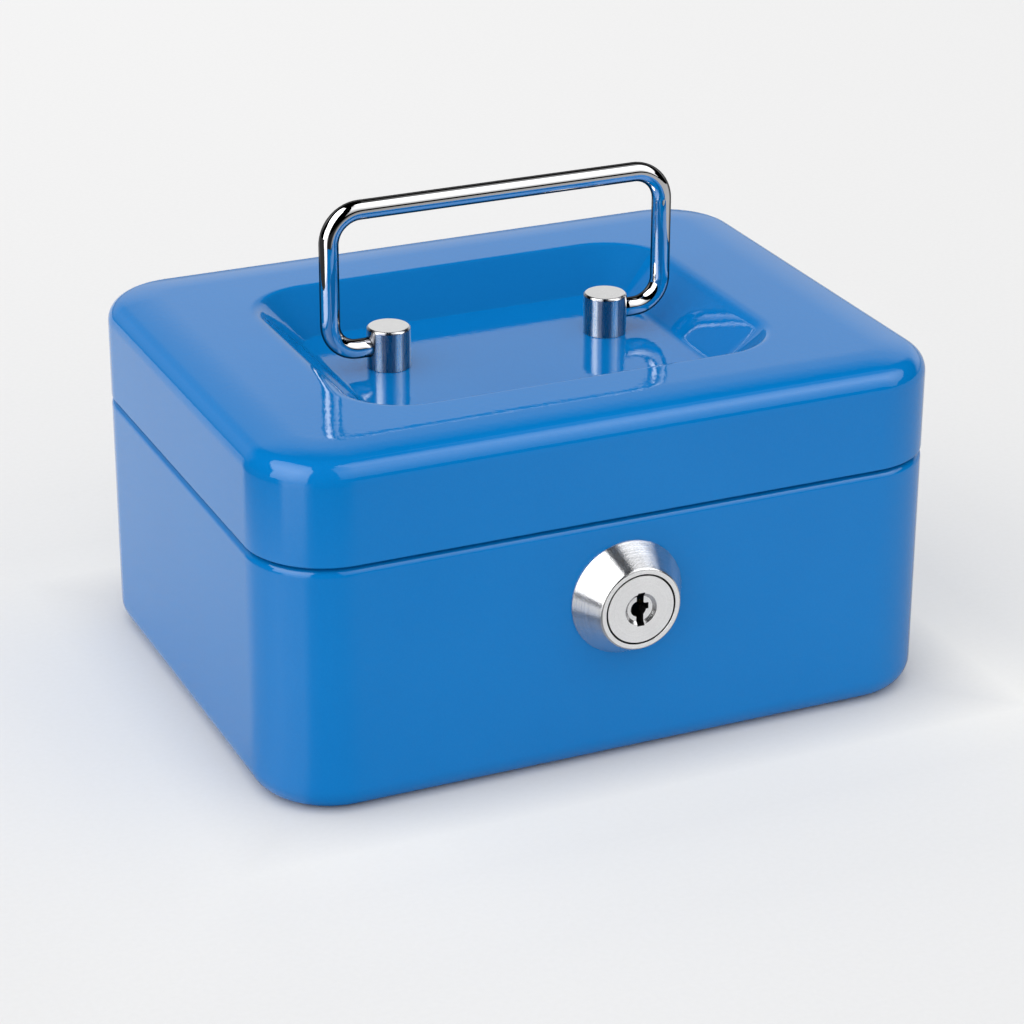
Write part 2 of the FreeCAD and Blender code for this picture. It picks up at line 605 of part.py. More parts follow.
def hinge_leaf(name, up):
    """One leaf: a plate on the rear wall, its share of the knuckles, rivet holes and stops."""
    body = new_body(name)
    wall_face = "Size.body_depth / 2"
    low = "Size.hinge_height" if up else "Size.hinge_height - Size.leaf_height"
    box(body, "Additive", "leaf_plate", ("-Size.hinge_length / 2", wall_face, low),
        ("Size.hinge_length", "Size.wall", "Size.leaf_height"))
    length = "((Size.hinge_length - %d * Size.knuckle_gap) / %d)" % (KNUCKLES - 1, KNUCKLES)
    pitch = "(%s + Size.knuckle_gap)" % length
    own = [number for number in range(KNUCKLES) if number % 2 == (1 if up else 0)]
    others = [number for number in range(KNUCKLES) if number not in own]
    for number in others:
        start = "-Size.hinge_length / 2 + %d * %s - Size.knuckle_gap" % (number, pitch)
        reach = "Size.knuckle_radius + Size.knuckle_gap"
        slot_low = "Size.hinge_height" if up else "Size.hinge_height - " + reach
        box(body, "Subtractive", "leaf_slot_%d" % number, (start, wall_face, slot_low),
            (length + " + 2 * Size.knuckle_gap", "Size.wall", reach))
    for number in own:
        start = "-Size.hinge_length / 2 + %d * %s" % (number, pitch)
        primitive(body, "AdditiveCylinder", "leaf_knuckle_%d" % number, "YZ_Plane",
                  (HINGE_DEPTH, "Size.hinge_height", start),
                  Radius="Size.knuckle_radius", Height=length)
    if not up:
        for side, start in (("left", "-Size.stop_start - Size.stop_length"), ("right", "Size.stop_start")):
            box(body, "Additive", "leaf_stop_" + side,
                (start, HINGE_DEPTH, "Size.hinge_height + Size.stop_height - Size.wall"),
                ("Size.stop_length", "Size.stop_reach", "Size.wall"))
    bore = "Size.pin_radius + Size.pin_clearance" if up else "Size.pin_radius"
    primitive(body, "SubtractiveCylinder", "leaf_bore", "YZ_Plane",
              (HINGE_DEPTH, "Size.hinge_height", "-Size.hinge_length / 2"),
              Radius=bore, Height="Size.hinge_length")
    height = "Size.hinge_height + %d * Size.rivet_height" % (1 if up else -1)
    for number, across in enumerate(RIVETS, 1):
        front_cylinder(body, "Subtractive", "leaf_rivet_hole_%d" % number,
                       "-Size.body_depth / 2 - 2 * Size.wall", "3 * Size.wall",
                       "Size.rivet_radius", across, height)
    return body


def hinge_pin():
    pin = plain_cylinder("hinge_pin", "Size.pin_radius", "Size.hinge_length",
                         ("-Size.hinge_length / 2", HINGE_DEPTH, "Size.hinge_height"), TO_RIGHT)
    pin.Label = "hinge_pin"
    return pin


def hinge_rivets(name, height):
    """Four rivets through leaf and wall: a domed head outside and a flat one inside."""
    rivets = []
    for number, across in enumerate(RIVETS, 1):
        body = new_body("%s_%d" % (name, number))
        outer_face = "-Size.body_depth / 2 - Size.wall"
        head = front_cylinder(body, "Additive", "rivet_head", outer_face + " - Size.rivet_head_height",
                              "Size.rivet_head_height", "Size.rivet_head_radius", across, height)
        rear = size("body_depth") / 2 + size("wall") + size("rivet_head_height")
        fillet(body, "rivet_dome", head, lambda bounds: abs(bounds.YMin - rear) < 1e-3,
               "0.8 * Size.rivet_head_height")
        front_cylinder(body, "Additive", "rivet_shank", outer_face, "2 * Size.wall",
                       "Size.rivet_radius", across, height)
        front_cylinder(body, "Additive", "rivet_tail", "-Size.body_depth / 2 + Size.wall",
                       "Size.rivet_head_height / 2", "0.9 * Size.rivet_head_radius", across, height)
        rivets.append(body)
    return group(name, rivets)


# ---------------------------------------------------------------- lock

LOCK_FACE = "(Size.body_depth / 2 + Size.nose_length)"
CAM_FRONT = "(Size.barrel_back - Size.cam_gap)"


def lock_housing():
    """Flared nose outside the wall and a double-D barrel inside it, bored for the plug."""
    body = new_body("lock_housing")
    nose = primitive(body, "AdditiveCone", "housing_nose", "XZ_Plane",
                     (0, "Size.lock_height", "Size.body_depth / 2"), Radius1="Size.cone_radius",
                     Radius2="Size.face_radius", Height="Size.nose_length")
    front = -size("body_depth") / 2 - size("nose_length")
    fillet(body, "housing_edge", nose, lambda bounds: abs(bounds.YMax - front) < 1e-3, "Size.nose_edge")
    front_cylinder(body, "Additive", "housing_barrel", "Size.barrel_back",
                   "Size.body_depth / 2 - Size.barrel_back", "Size.barrel_radius")
    for side in (-1, 1):
        low = "%d * Size.barrel_flat" % side + (" - Size.barrel_radius" if side < 0 else "")
        box(body, "Subtractive", "housing_flat", (low, "-Size.body_depth / 2",
            "Size.lock_height - 2 * Size.barrel_radius"),
            ("Size.barrel_radius", "Size.body_depth / 2 - Size.barrel_back", "4 * Size.barrel_radius"))
    front_cylinder(body, "Subtractive", "housing_bore", "Size.barrel_back", LOCK_FACE,
                   "Size.plug_radius + Size.plug_clearance")
    front_cylinder(body, "Subtractive", "housing_face_pocket",
                   LOCK_FACE + " - Size.plug_face_depth - Size.plug_clearance", "Size.overlap",
                   "Size.plug_recess_radius")
    return body


def lock_nut():
    """Hexagon nut behind the front wall."""
    body = new_body("lock_nut")
    start = "Size.body_depth / 2 - Size.wall - Size.lock_washer_thickness - Size.nut_thickness"
    primitive(body, "AdditivePrism", "nut_block", "XZ_Plane", (0, "Size.lock_height", start),
              Circumradius="Size.nut_radius", Height="Size.nut_thickness")
    front_cylinder(body, "Subtractive", "nut_thread", start, "Size.nut_thickness", "Size.barrel_radius")
    return body


def lock_washer():
    body = new_body("lock_washer")
    start = "Size.body_depth / 2 - Size.wall - Size.lock_washer_thickness"
    front_cylinder(body, "Additive", "lock_washer_disc", start, "Size.lock_washer_thickness",
                   "Size.lock_washer_radius")
    front_cylinder(body, "Subtractive", "lock_washer_hole", start, "Size.lock_washer_thickness",
                   "Size.barrel_radius + Size.hole_clearance")
    return body


def wafer_place(number):
    """Rear face of a wafer, in front of the middle of the box."""
    return "%s - Size.wafer_first - %d * Size.wafer_pitch - Size.wafer_thickness" % (LOCK_FACE, number)


def lock_plug():
    """Turning plug: face, keyhole, keyway, wafer slots, square tail and the cam screw's hole."""
    body = new_body("lock_plug")
    front_cylinder(body, "Additive", "plug_body", "Size.barrel_back",
                   LOCK_FACE + " - Size.barrel_back", "Size.plug_radius")
    front_cylinder(body, "Additive", "plug_face", LOCK_FACE + " - Size.plug_face_depth",
                   "Size.plug_face_depth", "Size.plug_face_radius")
    tail_back = "(%s - Size.cam_thickness)" % CAM_FRONT
    box(body, "Additive", "plug_tail",
        ("-Size.tail_size / 2", "-Size.barrel_back", "Size.lock_height - Size.tail_size / 2"),
        ("Size.tail_size", "Size.barrel_back - %s" % tail_back, "Size.tail_size"))
    primitive(body, "SubtractiveCone", "plug_dish", "XZ_Plane",
              (0, "Size.lock_height", LOCK_FACE + " - Size.dish_depth"),
              Radius1="Size.dish_floor_radius", Radius2="Size.dish_radius", Height="Size.dish_depth")
    box(body, "Subtractive", "plug_keyway",
        ("-Size.keyway_width / 2", "-" + LOCK_FACE, "Size.lock_height - Size.keyway_height / 2"),
        ("Size.keyway_width", "Size.keyway_depth", "Size.keyway_height"))
    box(body, "Subtractive", "plug_ward",
        ("0", "-" + LOCK_FACE, "Size.lock_height + Size.ward_rise - Size.ward_height / 2"),
        ("Size.keyway_width / 2 + Size.ward_width", "Size.keyway_depth", "Size.ward_height"))
    front_cylinder(body, "Subtractive", "plug_keyhole", LOCK_FACE + " - Size.keyhole_depth",
                   "Size.keyhole_depth", "Size.keyhole_radius", "-Size.keyhole_side")
    play = "Size.wafer_play"
    for number in range(int(size("wafer_count"))):
        box(body, "Subtractive", "plug_slot_%d" % number,
            ("-Size.wafer_width / 2 - " + play,
             "-(%s) - Size.wafer_thickness - %s" % (wafer_place(number), play),
             "Size.lock_height - Size.plug_radius"),
            ("Size.wafer_width / 2 + 2 * %s + Size.spring_offset + Size.spring_radius" % play,
             "Size.wafer_thickness + 2 * " + play, "2 * Size.plug_radius"))
    front_cylinder(body, "Subtractive", "plug_screw_hole", tail_back, "Size.cam_screw_length",
                   "Size.cam_screw_radius")
    return body


def lock_wafers():
    """Flat brass wafers in the plug, each with a window for the key."""
    wafers = []
    for number in range(int(size("wafer_count"))):
        body = new_body("wafer_%d" % number)
        front = "-(%s) - Size.wafer_thickness" % wafer_place(number)
        box(body, "Additive", "wafer_plate",
            ("-Size.wafer_width / 2", front, "Size.lock_height - Size.wafer_height / 2"),
            ("Size.wafer_width", "Size.wafer_thickness", "Size.wafer_height"))
        box(body, "Subtractive", "wafer_window",
            ("-Size.wafer_window_width / 2", front, "Size.lock_height - Size.wafer_window_height / 2"),
            ("Size.wafer_window_width", "Size.wafer_thickness", "Size.wafer_window_height"))
        wafers.append(body)
    return group("lock_wafers", wafers)


def wafer_springs():
    """Small upright compression springs, one beside each wafer."""
    springs = []
    for number in range(int(size("wafer_count"))):
        helix = document.addObject("Part::Helix", "spring_path_%d" % number)
        bind(helix, Pitch="Size.spring_pitch", Height="Size.spring_height", Radius="Size.spring_radius")
        section = document.addObject("Part::Circle", "spring_section_%d" % number)
        section.Placement = Placement(Vector(size("spring_radius"), 0, 0), TO_FRONT)
        bind(section, Radius="Size.spring_wire", Placement__Base__x="Size.spring_radius")
        spring = document.addObject("Part::Sweep", "wafer_spring_%d" % number)
        spring.Sections = [section]
        spring.Spine = (helix, [])
        spring.Solid = True
        spring.Frenet = True
        bind(spring, Placement__Base__x="Size.spring_offset",
             Placement__Base__y="-(%s) - Size.wafer_thickness / 2" % wafer_place(number),
             Placement__Base__z="Size.lock_height - Size.spring_height / 2")
        springs.append(spring)
    return group("wafer_springs", springs)


def lock_cam():
    """Hooked cam: a hub on the plug's square tail, an arm and a curved hook about the same axis.

    It is drawn unlocked, pointing left. A quarter turn to the right brings the hook to the top.
    """
    body = new_body("lock_cam")
    start = "Size.barrel_back - Size.cam_gap - Size.cam_thickness"
    at = (0, "Size.lock_height", start)
    sector = primitive(body, "AdditiveCylinder", "cam_hook", "XZ_Plane", at,
                       Radius="Size.hook_outer", Height="Size.cam_thickness",
                       Angle="Size.hook_trail + Size.hook_lead")
    bind(sector, AttachmentOffset__Rotation__Angle="180 - Size.hook_lead")
    primitive(body, "SubtractiveCylinder", "cam_hook_hollow", "XZ_Plane", at,
              Radius="Size.hook_inner", Height="Size.cam_thickness")
    arm = primitive(body, "AdditiveBox", "cam_arm", "XZ_Plane", at,
                    Length="(Size.hook_inner + Size.hook_outer) / 2", Width="Size.cam_arm_width",
                    Height="Size.cam_thickness")
    bind(arm, AttachmentOffset__Rotation__Angle="180 + Size.arm_trail",
         AttachmentOffset__Base__x="Size.cam_arm_width / 2 * sin(180 + Size.arm_trail)",
         AttachmentOffset__Base__y="Size.lock_height - Size.cam_arm_width / 2 * cos(180 + Size.arm_trail)")
    primitive(body, "AdditiveCylinder", "cam_hub", "XZ_Plane", at,
              Radius="Size.cam_hub_radius", Height="Size.cam_thickness")
    box(body, "Subtractive", "cam_square",
        ("-Size.tail_size / 2", "-Size.barrel_back", "Size.lock_height - Size.tail_size / 2"),
        ("Size.tail_size", "Size.overlap", "Size.tail_size"))
    return body


def cam_screw():
    """Slotted screw that clamps the cam on the plug's tail."""
    body = new_body("cam_screw")
    face = "(%s - Size.cam_thickness)" % CAM_FRONT
    head = front_cylinder(body, "Additive", "cam_screw_head", face + " - Size.cam_screw_head_height",
                          "Size.cam_screw_head_height", "Size.cam_screw_head_radius")
    rear = (-size("barrel_back") + size("cam_gap") + size("cam_thickness")
            + size("cam_screw_head_height"))
    fillet(body, "cam_screw_round", head, lambda bounds: abs(bounds.YMin - rear) < 1e-3,
           "Size.cam_screw_head_height / 2")
    front_cylinder(body, "Additive", "cam_screw_shank", face, "Size.cam_screw_length",
                   "Size.cam_screw_radius")
    box(body, "Subtractive", "cam_screw_slot",
        ("-2 * Size.cam_screw_head_radius", "-%s + Size.cam_screw_head_height / 2" % face,
         "Size.lock_height - Size.screw_slot / 2"),
        ("4 * Size.cam_screw_head_radius", "Size.cam_screw_head_height", "Size.screw_slot"))
    return body


def lid_keeper():
    """Bent plate welded inside the lid's front wall; the cam's hook passes through its window."""
    body = new_body("lid_keeper")
    wall_face = "(-Size.body_depth / 2 + Size.wall)"
    half = "Size.keeper_thickness / 2"
    box(body, "Additive", "keeper_foot", ("-" + half, wall_face, "Size.keeper_foot"),
        ("Size.keeper_foot_width", "Size.keeper_thickness", "Size.keeper_head - Size.keeper_foot"))
    box(body, "Additive", "keeper_web", ("-" + half, wall_face, "Size.keeper_foot"),
        ("Size.keeper_thickness", "-%s - Size.keeper_back" % wall_face,
         "Size.keeper_head - Size.keeper_foot"))
    box(body, "Additive", "keeper_tongue", ("-" + half, "-Size.keeper_front", "Size.keeper_tip"),
        ("Size.keeper_thickness", "Size.keeper_front - Size.keeper_back",
         "Size.keeper_head - Size.keeper_tip"))
    middle = "(Size.barrel_back - Size.cam_gap - Size.cam_thickness / 2)"
    box(body, "Subtractive", "keeper_window",
        ("-" + half, "-%s - Size.keeper_window_depth / 2" % middle, "Size.keeper_window_low"),
        ("Size.keeper_thickness", "Size.keeper_window_depth",
         "Size.keeper_window_high - Size.keeper_window_low"))
    return body


# ---------------------------------------------------------------- coin tray


def coin_tray():
    """Moulded tray: a flange with a notch for the lock and two rows of round-bottomed wells."""
    body = new_body("coin_tray")
    block = box(body, "Additive", "tray_block",
                ("-Size.well_width / 2", "-Size.well_front", "Size.tray_floor"),
                ("Size.well_width", "Size.well_front + Size.well_rear", "Size.tray_seat - Size.tray_floor"))
    fillet(body, "tray_corners", block, lambda bounds: bounds.ZLength > size("well_corner"),
           "Size.well_corner + Size.tray_wall")
    rounded_block(body, "tray_flange", "Size.tray_width", "Size.tray_depth", "Size.tray_corner",
                  "Size.tray_seat", "Size.tray_seat + Size.tray_flange")
    box(body, "Subtractive", "tray_notch",
        ("-Size.notch_width / 2", "-Size.tray_depth", "Size.tray_seat"),
        ("Size.notch_width", "Size.tray_depth - Size.well_front", "Size.tray_flange"))
    rows = (("front", 2, "-Size.well_front + Size.tray_wall", "Size.well_split - Size.tray_wall / 2"),
            ("rear", 3, "Size.well_split + Size.tray_wall / 2", "Size.well_rear - Size.tray_wall"))
    for row, count, front, rear in rows:
        span = "((Size.well_width - %d * Size.tray_wall) / %d)" % (count + 1, count)
        for number in range(count):
            middle_x = "-Size.well_width / 2 + Size.tray_wall + %s / 2 + %d * (%s + Size.tray_wall)" % (
                span, number, span)
            well = attach(body.newObject("Sketcher::SketchObject", "tray_well_outline"), body, "XY_Plane",
                          (middle_x, "(%s + %s) / 2" % (front, rear), "Size.tray_seat + Size.tray_flange"))
            rounded_rectangle(well, span, "(%s) - (%s)" % (rear, front), "Size.well_corner")
            last = body.newObject("PartDesign::Pocket", "tray_well_%s_%d" % (row, number))
            last.Profile = well
            bind(last, Length="Size.tray_seat + Size.tray_flange - Size.tray_floor - Size.tray_wall")
    fillet(body, "tray_well_feet", last, level(size("tray_floor") + size("tray_wall")), "Size.well_foot")
    return body


def tray_ledge(side, sign):
    """Angle strip welded inside the side wall; the tray's flange rests on it."""
    body = new_body("tray_ledge_" + side)
    wall_face = "(Size.body_width / 2 - Size.wall)"
    shelf = "Size.ledge_reach"
    shelf_left = wall_face + " - " + shelf if sign > 0 else "-" + wall_face
    strip_left = wall_face + " - Size.wall" if sign > 0 else "-" + wall_face
    box(body, "Additive", "ledge_shelf", (shelf_left, "-Size.ledge_length / 2",
        "Size.tray_seat - Size.wall"), (shelf, "Size.ledge_length", "Size.wall"))
    box(body, "Additive", "ledge_strip", (strip_left, "-Size.ledge_length / 2",
        "Size.tray_seat - Size.ledge_height"), ("Size.wall", "Size.ledge_length", "Size.ledge_height"))
    return body


# ---------------------------------------------------------------- build and write


def build():
    nodes = [base_shell(), lid_shell(), handle(), post_screws(), post_washers(), hinge_pin()]
    for side, sign in (("left", -1), ("right", 1)):
        nodes.append(handle_post(side, sign))
        nodes.append(tray_ledge(side, sign))
    nodes.append(hinge_leaf("hinge_leaf_base", False))
    nodes.append(hinge_leaf("hinge_leaf_lid", True))
    nodes.append(hinge_rivets("hinge_rivets_base", "Size.hinge_height - Size.rivet_height"))
    nodes.append(hinge_rivets("hinge_rivets_lid", "Size.hinge_height + Size.rivet_height"))
    for make in (lock_housing, lock_nut, lock_washer, lock_plug, lock_wafers, wafer_springs,
                 lock_cam, cam_screw, lid_keeper, coin_tray):
        nodes.append(make())
    document.recompute()
    return nodes


def check(nodes):
    """Stops if any object failed or any node's shape is missing or invalid."""
    failed = [item.Label for item in document.Objects
              if "Invalid" in item.State or "Error" in item.State]
    if failed:
        raise RuntimeError("failed objects: " + ", ".join(failed))
    for node in nodes:
        if node.Shape.isNull() or not node.Shape.isValid():
            raise RuntimeError("bad shape: " + node.Label)


def write(nodes):
    os.makedirs("parts", exist_ok=True)
    for node in nodes:
        node.Shape.exportStep("parts/%s.step" % node.Label)
        print("%-20s %2d solid(s) %10.1f mm3" % (node.Label, len(node.Shape.Solids), node.Shape.Volume))


fill_sheet()
cash_box = build()
check(cash_box)
write(cash_box)
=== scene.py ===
import math

import bmesh
import bpy
from mathutils import Matrix, Vector


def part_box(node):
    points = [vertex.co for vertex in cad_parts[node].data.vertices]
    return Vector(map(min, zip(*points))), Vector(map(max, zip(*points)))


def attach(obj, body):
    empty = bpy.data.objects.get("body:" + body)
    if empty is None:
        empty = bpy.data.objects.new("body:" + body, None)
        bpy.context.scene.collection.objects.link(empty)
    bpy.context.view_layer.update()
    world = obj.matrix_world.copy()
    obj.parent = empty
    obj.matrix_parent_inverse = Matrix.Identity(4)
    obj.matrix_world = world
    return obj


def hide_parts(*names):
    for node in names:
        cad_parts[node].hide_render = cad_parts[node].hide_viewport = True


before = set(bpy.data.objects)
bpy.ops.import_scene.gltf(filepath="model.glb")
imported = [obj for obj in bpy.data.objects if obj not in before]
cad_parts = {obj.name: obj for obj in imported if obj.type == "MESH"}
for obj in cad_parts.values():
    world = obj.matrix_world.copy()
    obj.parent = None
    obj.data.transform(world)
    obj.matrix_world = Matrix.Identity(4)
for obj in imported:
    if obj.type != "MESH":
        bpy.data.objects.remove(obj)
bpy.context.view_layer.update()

MM = 0.001

# ---------------------------------------------------------------- sizes from the frame, in metres

CASE_LOW, CASE_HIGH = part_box("base_shell")
LID_LOW, LID_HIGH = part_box("lid_shell")
POST_LOW, POST_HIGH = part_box("handle_post_right")
WIRE_LOW, WIRE_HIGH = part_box("handle")
NOSE_LOW, NOSE_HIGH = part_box("lock_housing")

HALF_X = CASE_HIGH.x
HALF_Y = CASE_HIGH.y
SHEET = 0.8 * MM
CORNER = 17.25 * MM
LOCK_HEIGHT = (NOSE_LOW.z + NOSE_HIGH.z) / 2

# the lid's recess: its floor, up to where the walls' feet begin, and its rim's corners
RECESS_FLOOR_X = 37.4 * MM
RECESS_FLOOR_Y = 27.4 * MM
RECESS_FLOOR_CORNER = 4.6 * MM
RECESS_RIM_CORNER = 17 * MM

# ---------------------------------------------------------------- mesh helpers


def add_object(name, mesh_data):
    """Makes an object in the scene from a bmesh, which is used up."""
    mesh = bpy.data.meshes.new(name)
    mesh_data.to_mesh(mesh)
    mesh_data.free()
    made = bpy.data.objects.new(name, mesh)
    bpy.context.scene.collection.objects.link(made)
    return made


def finish_mesh(name, mesh_data, body, node, material):
    """Turns a bmesh into a smooth piece that rides on a body and stands for a CAD node."""
    bmesh.ops.recalc_face_normals(mesh_data, faces=mesh_data.faces)
    piece = add_object(name, mesh_data)
    for face in piece.data.polygons:
        face.use_smooth = True
    piece.data.materials.append(material)
    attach(piece, body)
    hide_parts(node)
    return piece


def rounded_ring(half_x, half_y, corner, end_height, side_height=None):
    """Points round an upright rounded rectangle, anticlockwise from above.

    The height may differ between the ends (facing X) and the sides (facing Y); it blends
    round the corners.
    """
    if side_height is None:
        side_height = end_height
    corner_steps = 28
    hold = 0.25 * MM  # distance of a straight run's first point from the corner
    points = []
    signs = ((1, -1), (1, 1), (-1, 1), (-1, -1))
    for turn, (sign_x, sign_y) in enumerate(signs):
        centre = Vector((sign_x * (half_x - corner), sign_y * (half_y - corner), 0))
        start = math.radians(90 * turn - 90)
        for step in range(corner_steps + 1):
            angle = start + math.pi / 2 * step / corner_steps
            share = math.sin(angle) ** 2
            height = end_height + (side_height - end_height) * share
            points.append(centre + Vector((math.cos(angle) * corner, math.sin(angle) * corner, height)))
        # the straight run to the next corner
        last = points[-1]
        next_x, next_y = signs[(turn + 1) % 4]
        next_centre = Vector((next_x * (half_x - corner), next_y * (half_y - corner), 0))
        angle = start + math.pi / 2
        target = next_centre + Vector((math.cos(angle) * corner, math.sin(angle) * corner, last.z))
        run = target - last
        share = min(hold / max(run.length, 1e-9), 0.25)
        for part in (share, 0.25, 0.5, 0.75, 1 - share):
            points.append(last + run * part)
    return points


def skin(mesh_data, rings, cap_first=False, cap_last=False):
    """Quads between successive closed rings of equal length; optionally a face on either end."""
    made = [[mesh_data.verts.new(point) for point in ring] for ring in rings]
    for inner, outer in zip(made, made[1:]):
        count = len(inner)
        for number in range(count):
            following = (number + 1) % count
            mesh_data.faces.new((inner[number], inner[following], outer[following], outer[number]))
    if cap_first:
        mesh_data.faces.new(made[0])
    if cap_last:
        mesh_data.faces.new(made[-1])


def arc(centre, radius, first, last, steps):
    """Points (out, up) on an arc between two angles in degrees, both ends included."""
    turns = [math.radians(first + (last - first) * step / steps) for step in range(steps + 1)]
    across, up = centre
    return [(across + radius * math.cos(turn), up + radius * math.sin(turn)) for turn in turns]


def sheet_solid(piece, thickness):
    """Gives a pressed skin its sheet thickness on the inside."""
    solid = piece.modifiers.new("sheet", "SOLIDIFY")
    solid.thickness = thickness
    solid.offset = -1
    solid.use_even_offset = True
    return piece

# ---------------------------------------------------------------- materials

NOISE_LOW, NOISE_HIGH = 0.3, 0.7  # where most of a noise texture's values lie
PLAIN_BLEND = 0.5  # Layer Weight's blend at which Facing is 1 minus the cosine of the view


class Nodes:
    """Short calls for building a material's node tree."""

    def __init__(self, name):
        self.material = bpy.data.materials.new(name)
        self.material.use_nodes = True
        self.tree = self.material.node_tree
        self.shader = self.tree.nodes["Principled BSDF"]
        self.place = self.add("ShaderNodeTexCoord").outputs["Object"]

    def add(self, kind, **values):
        node = self.tree.nodes.new(kind)
        for name, value in values.items():
            setattr(node, name, value)
        return node

    def link(self, source, target):
        self.tree.links.new(source, target)

    def noise(self, scale, detail=2.0, stretch=(1, 1, 1), vector=None):
        """Noise in object space; scale counts features per metre."""
        mapping = self.add("ShaderNodeMapping")
        mapping.inputs["Scale"].default_value = stretch
        self.link(vector or self.place, mapping.inputs["Vector"])
        texture = self.add("ShaderNodeTexNoise")
        texture.inputs["Scale"].default_value = scale
        texture.inputs["Detail"].default_value = detail
        self.link(mapping.outputs["Vector"], texture.inputs["Vector"])
        return texture.outputs["Fac"]

    def ramp(self, value, low, high, out_low, out_high):
        node = self.add("ShaderNodeMapRange")
        limits = {"From Min": low, "From Max": high, "To Min": out_low, "To Max": out_high}
        for name, number in limits.items():
            node.inputs[name].default_value = number
        self.link(value, node.inputs["Value"])
        return node.outputs["Result"]

    def spread(self, noise, out_low, out_high):
        """Lays a noise's usual values over a range."""
        return self.ramp(noise, NOISE_LOW, NOISE_HIGH, out_low, out_high)

    def math(self, operation, first, second=None):
        node = self.add("ShaderNodeMath", operation=operation)
        for socket, value in zip(node.inputs, (first, second)):
            if isinstance(value, bpy.types.NodeSocket):
                self.link(value, socket)
            elif value is not None:
                socket.default_value = value
        return node.outputs[0]

    def curve(self, value, stops):
        """Piecewise-linear function of a value: (value, result) pairs in rising order."""
        first, last = stops[0][0], stops[-1][0]
        results = [result for _, result in stops]
        low, high = min(results), max(results)
        ramp = self.add("ShaderNodeValToRGB")
        elements = ramp.color_ramp.elements
        for number, (place, result) in enumerate(stops):
            share = (place - first) / (last - first)
            element = elements[number] if number < 2 else elements.new(share)
            element.position = share
            grey = (result - low) / (high - low)
            element.color = (grey, grey, grey, 1)
        self.link(self.ramp(value, first, last, 0, 1), ramp.inputs["Fac"])
        return self.ramp(ramp.outputs["Color"], 0, 1, low, high)

    def times(self, first, second):
        return self.math("MULTIPLY", first, second)

    def plus(self, first, second):
        return self.math("ADD", first, second)

    def components(self, vector):
        """The X, Y and Z outputs of a vector."""
        node = self.add("ShaderNodeSeparateXYZ")
        self.link(vector, node.inputs[0])
        return node.outputs

    def length(self, vector):
        node = self.add("ShaderNodeVectorMath", operation="LENGTH")
        self.link(vector, node.inputs[0])
        return node.outputs["Value"]

    def scaled(self, vector, amount):
        node = self.add("ShaderNodeVectorMath", operation="SCALE")
        self.link(vector, node.inputs[0])
        self.link(amount, node.inputs["Scale"])
        return node.outputs[0]

    def facing(self):
        """0 where the surface is looked at squarely, 1 at its rim."""
        node = self.add("ShaderNodeLayerWeight")
        node.inputs["Blend"].default_value = PLAIN_BLEND
        return node.outputs["Facing"]

    def mirrored(self):
        """1 for what a glossy surface reflects, 0 otherwise."""
        return self.add("ShaderNodeLightPath").outputs["Is Glossy Ray"]

    def mix_value(self, factor, first, second):
        node = self.add("ShaderNodeMix", data_type="FLOAT")
        for socket, value in zip((node.inputs[0], node.inputs[2], node.inputs[3]), (factor, first, second)):
            self.link(value, socket)
        return node.outputs[0]

    def mix_colour(self, factor, first, second):
        node = self.add("ShaderNodeMix", data_type="RGBA")
        self.link(factor, node.inputs[0])
        for socket, value in ((node.inputs[6], first), (node.inputs[7], second)):
            if isinstance(value, bpy.types.NodeSocket):
                self.link(value, socket)
            else:
                socket.default_value = (*value, 1)
        return node.outputs[2]

    def bump(self, height, strength, distance, below=None):
        node = self.add("ShaderNodeBump")
        node.inputs["Strength"].default_value = strength
        node.inputs["Distance"].default_value = distance
        self.link(height, node.inputs["Height"])
        if below is not None:
            self.link(below, node.inputs["Normal"])
        return node.outputs["Normal"]

    def set(self, **values):
        for name, value in values.items():
            socket = self.shader.inputs[name.replace("_", " ")]
            if isinstance(value, bpy.types.NodeSocket):
                self.link(value, socket)
            elif isinstance(value, tuple) and len(value) == 3:
                socket.default_value = (*value, 1)
            else:
                socket.default_value = value
        return self.material


def dimmed(colour, share):
    return tuple(share * value for value in colour)


def enamel(name, low, high, specular, shade):
    """Blue stoving enamel: even colour, fine orange peel and long soft waves in the sheet.

    The colour is multiplied by shade, which is below 1 to paint shade on the recess's long walls, matching
    the photograph's darker recess walls.
    """
    nodes = Nodes(name)
    cloud = nodes.noise(scale=22, detail=3)
    speckle = nodes.noise(scale=2800)
    mottle = nodes.plus(nodes.spread(cloud, 0, 0.5), nodes.spread(speckle, 0, 0.5))
    dark, light = (0.0008, 0.162, 0.483), (0.0022, 0.182, 0.523)
    colour = nodes.mix_colour(mottle, dimmed(dark, shade), dimmed(light, shade))
    grain = nodes.bump(nodes.noise(scale=2600), strength=0.35, distance=0.004 * MM)
    peel = nodes.bump(nodes.noise(scale=800), strength=0.8, distance=0.02 * MM, below=grain)
    waves = nodes.bump(nodes.noise(scale=26, detail=1), strength=0.08, distance=0.4 * MM, below=peel)
    gloss = nodes.spread(nodes.noise(scale=70, detail=3), low, high)
    return nodes.set(Base_Color=colour, Roughness=gloss, Normal=waves, IOR=1.5, Specular_IOR_Level=specular)


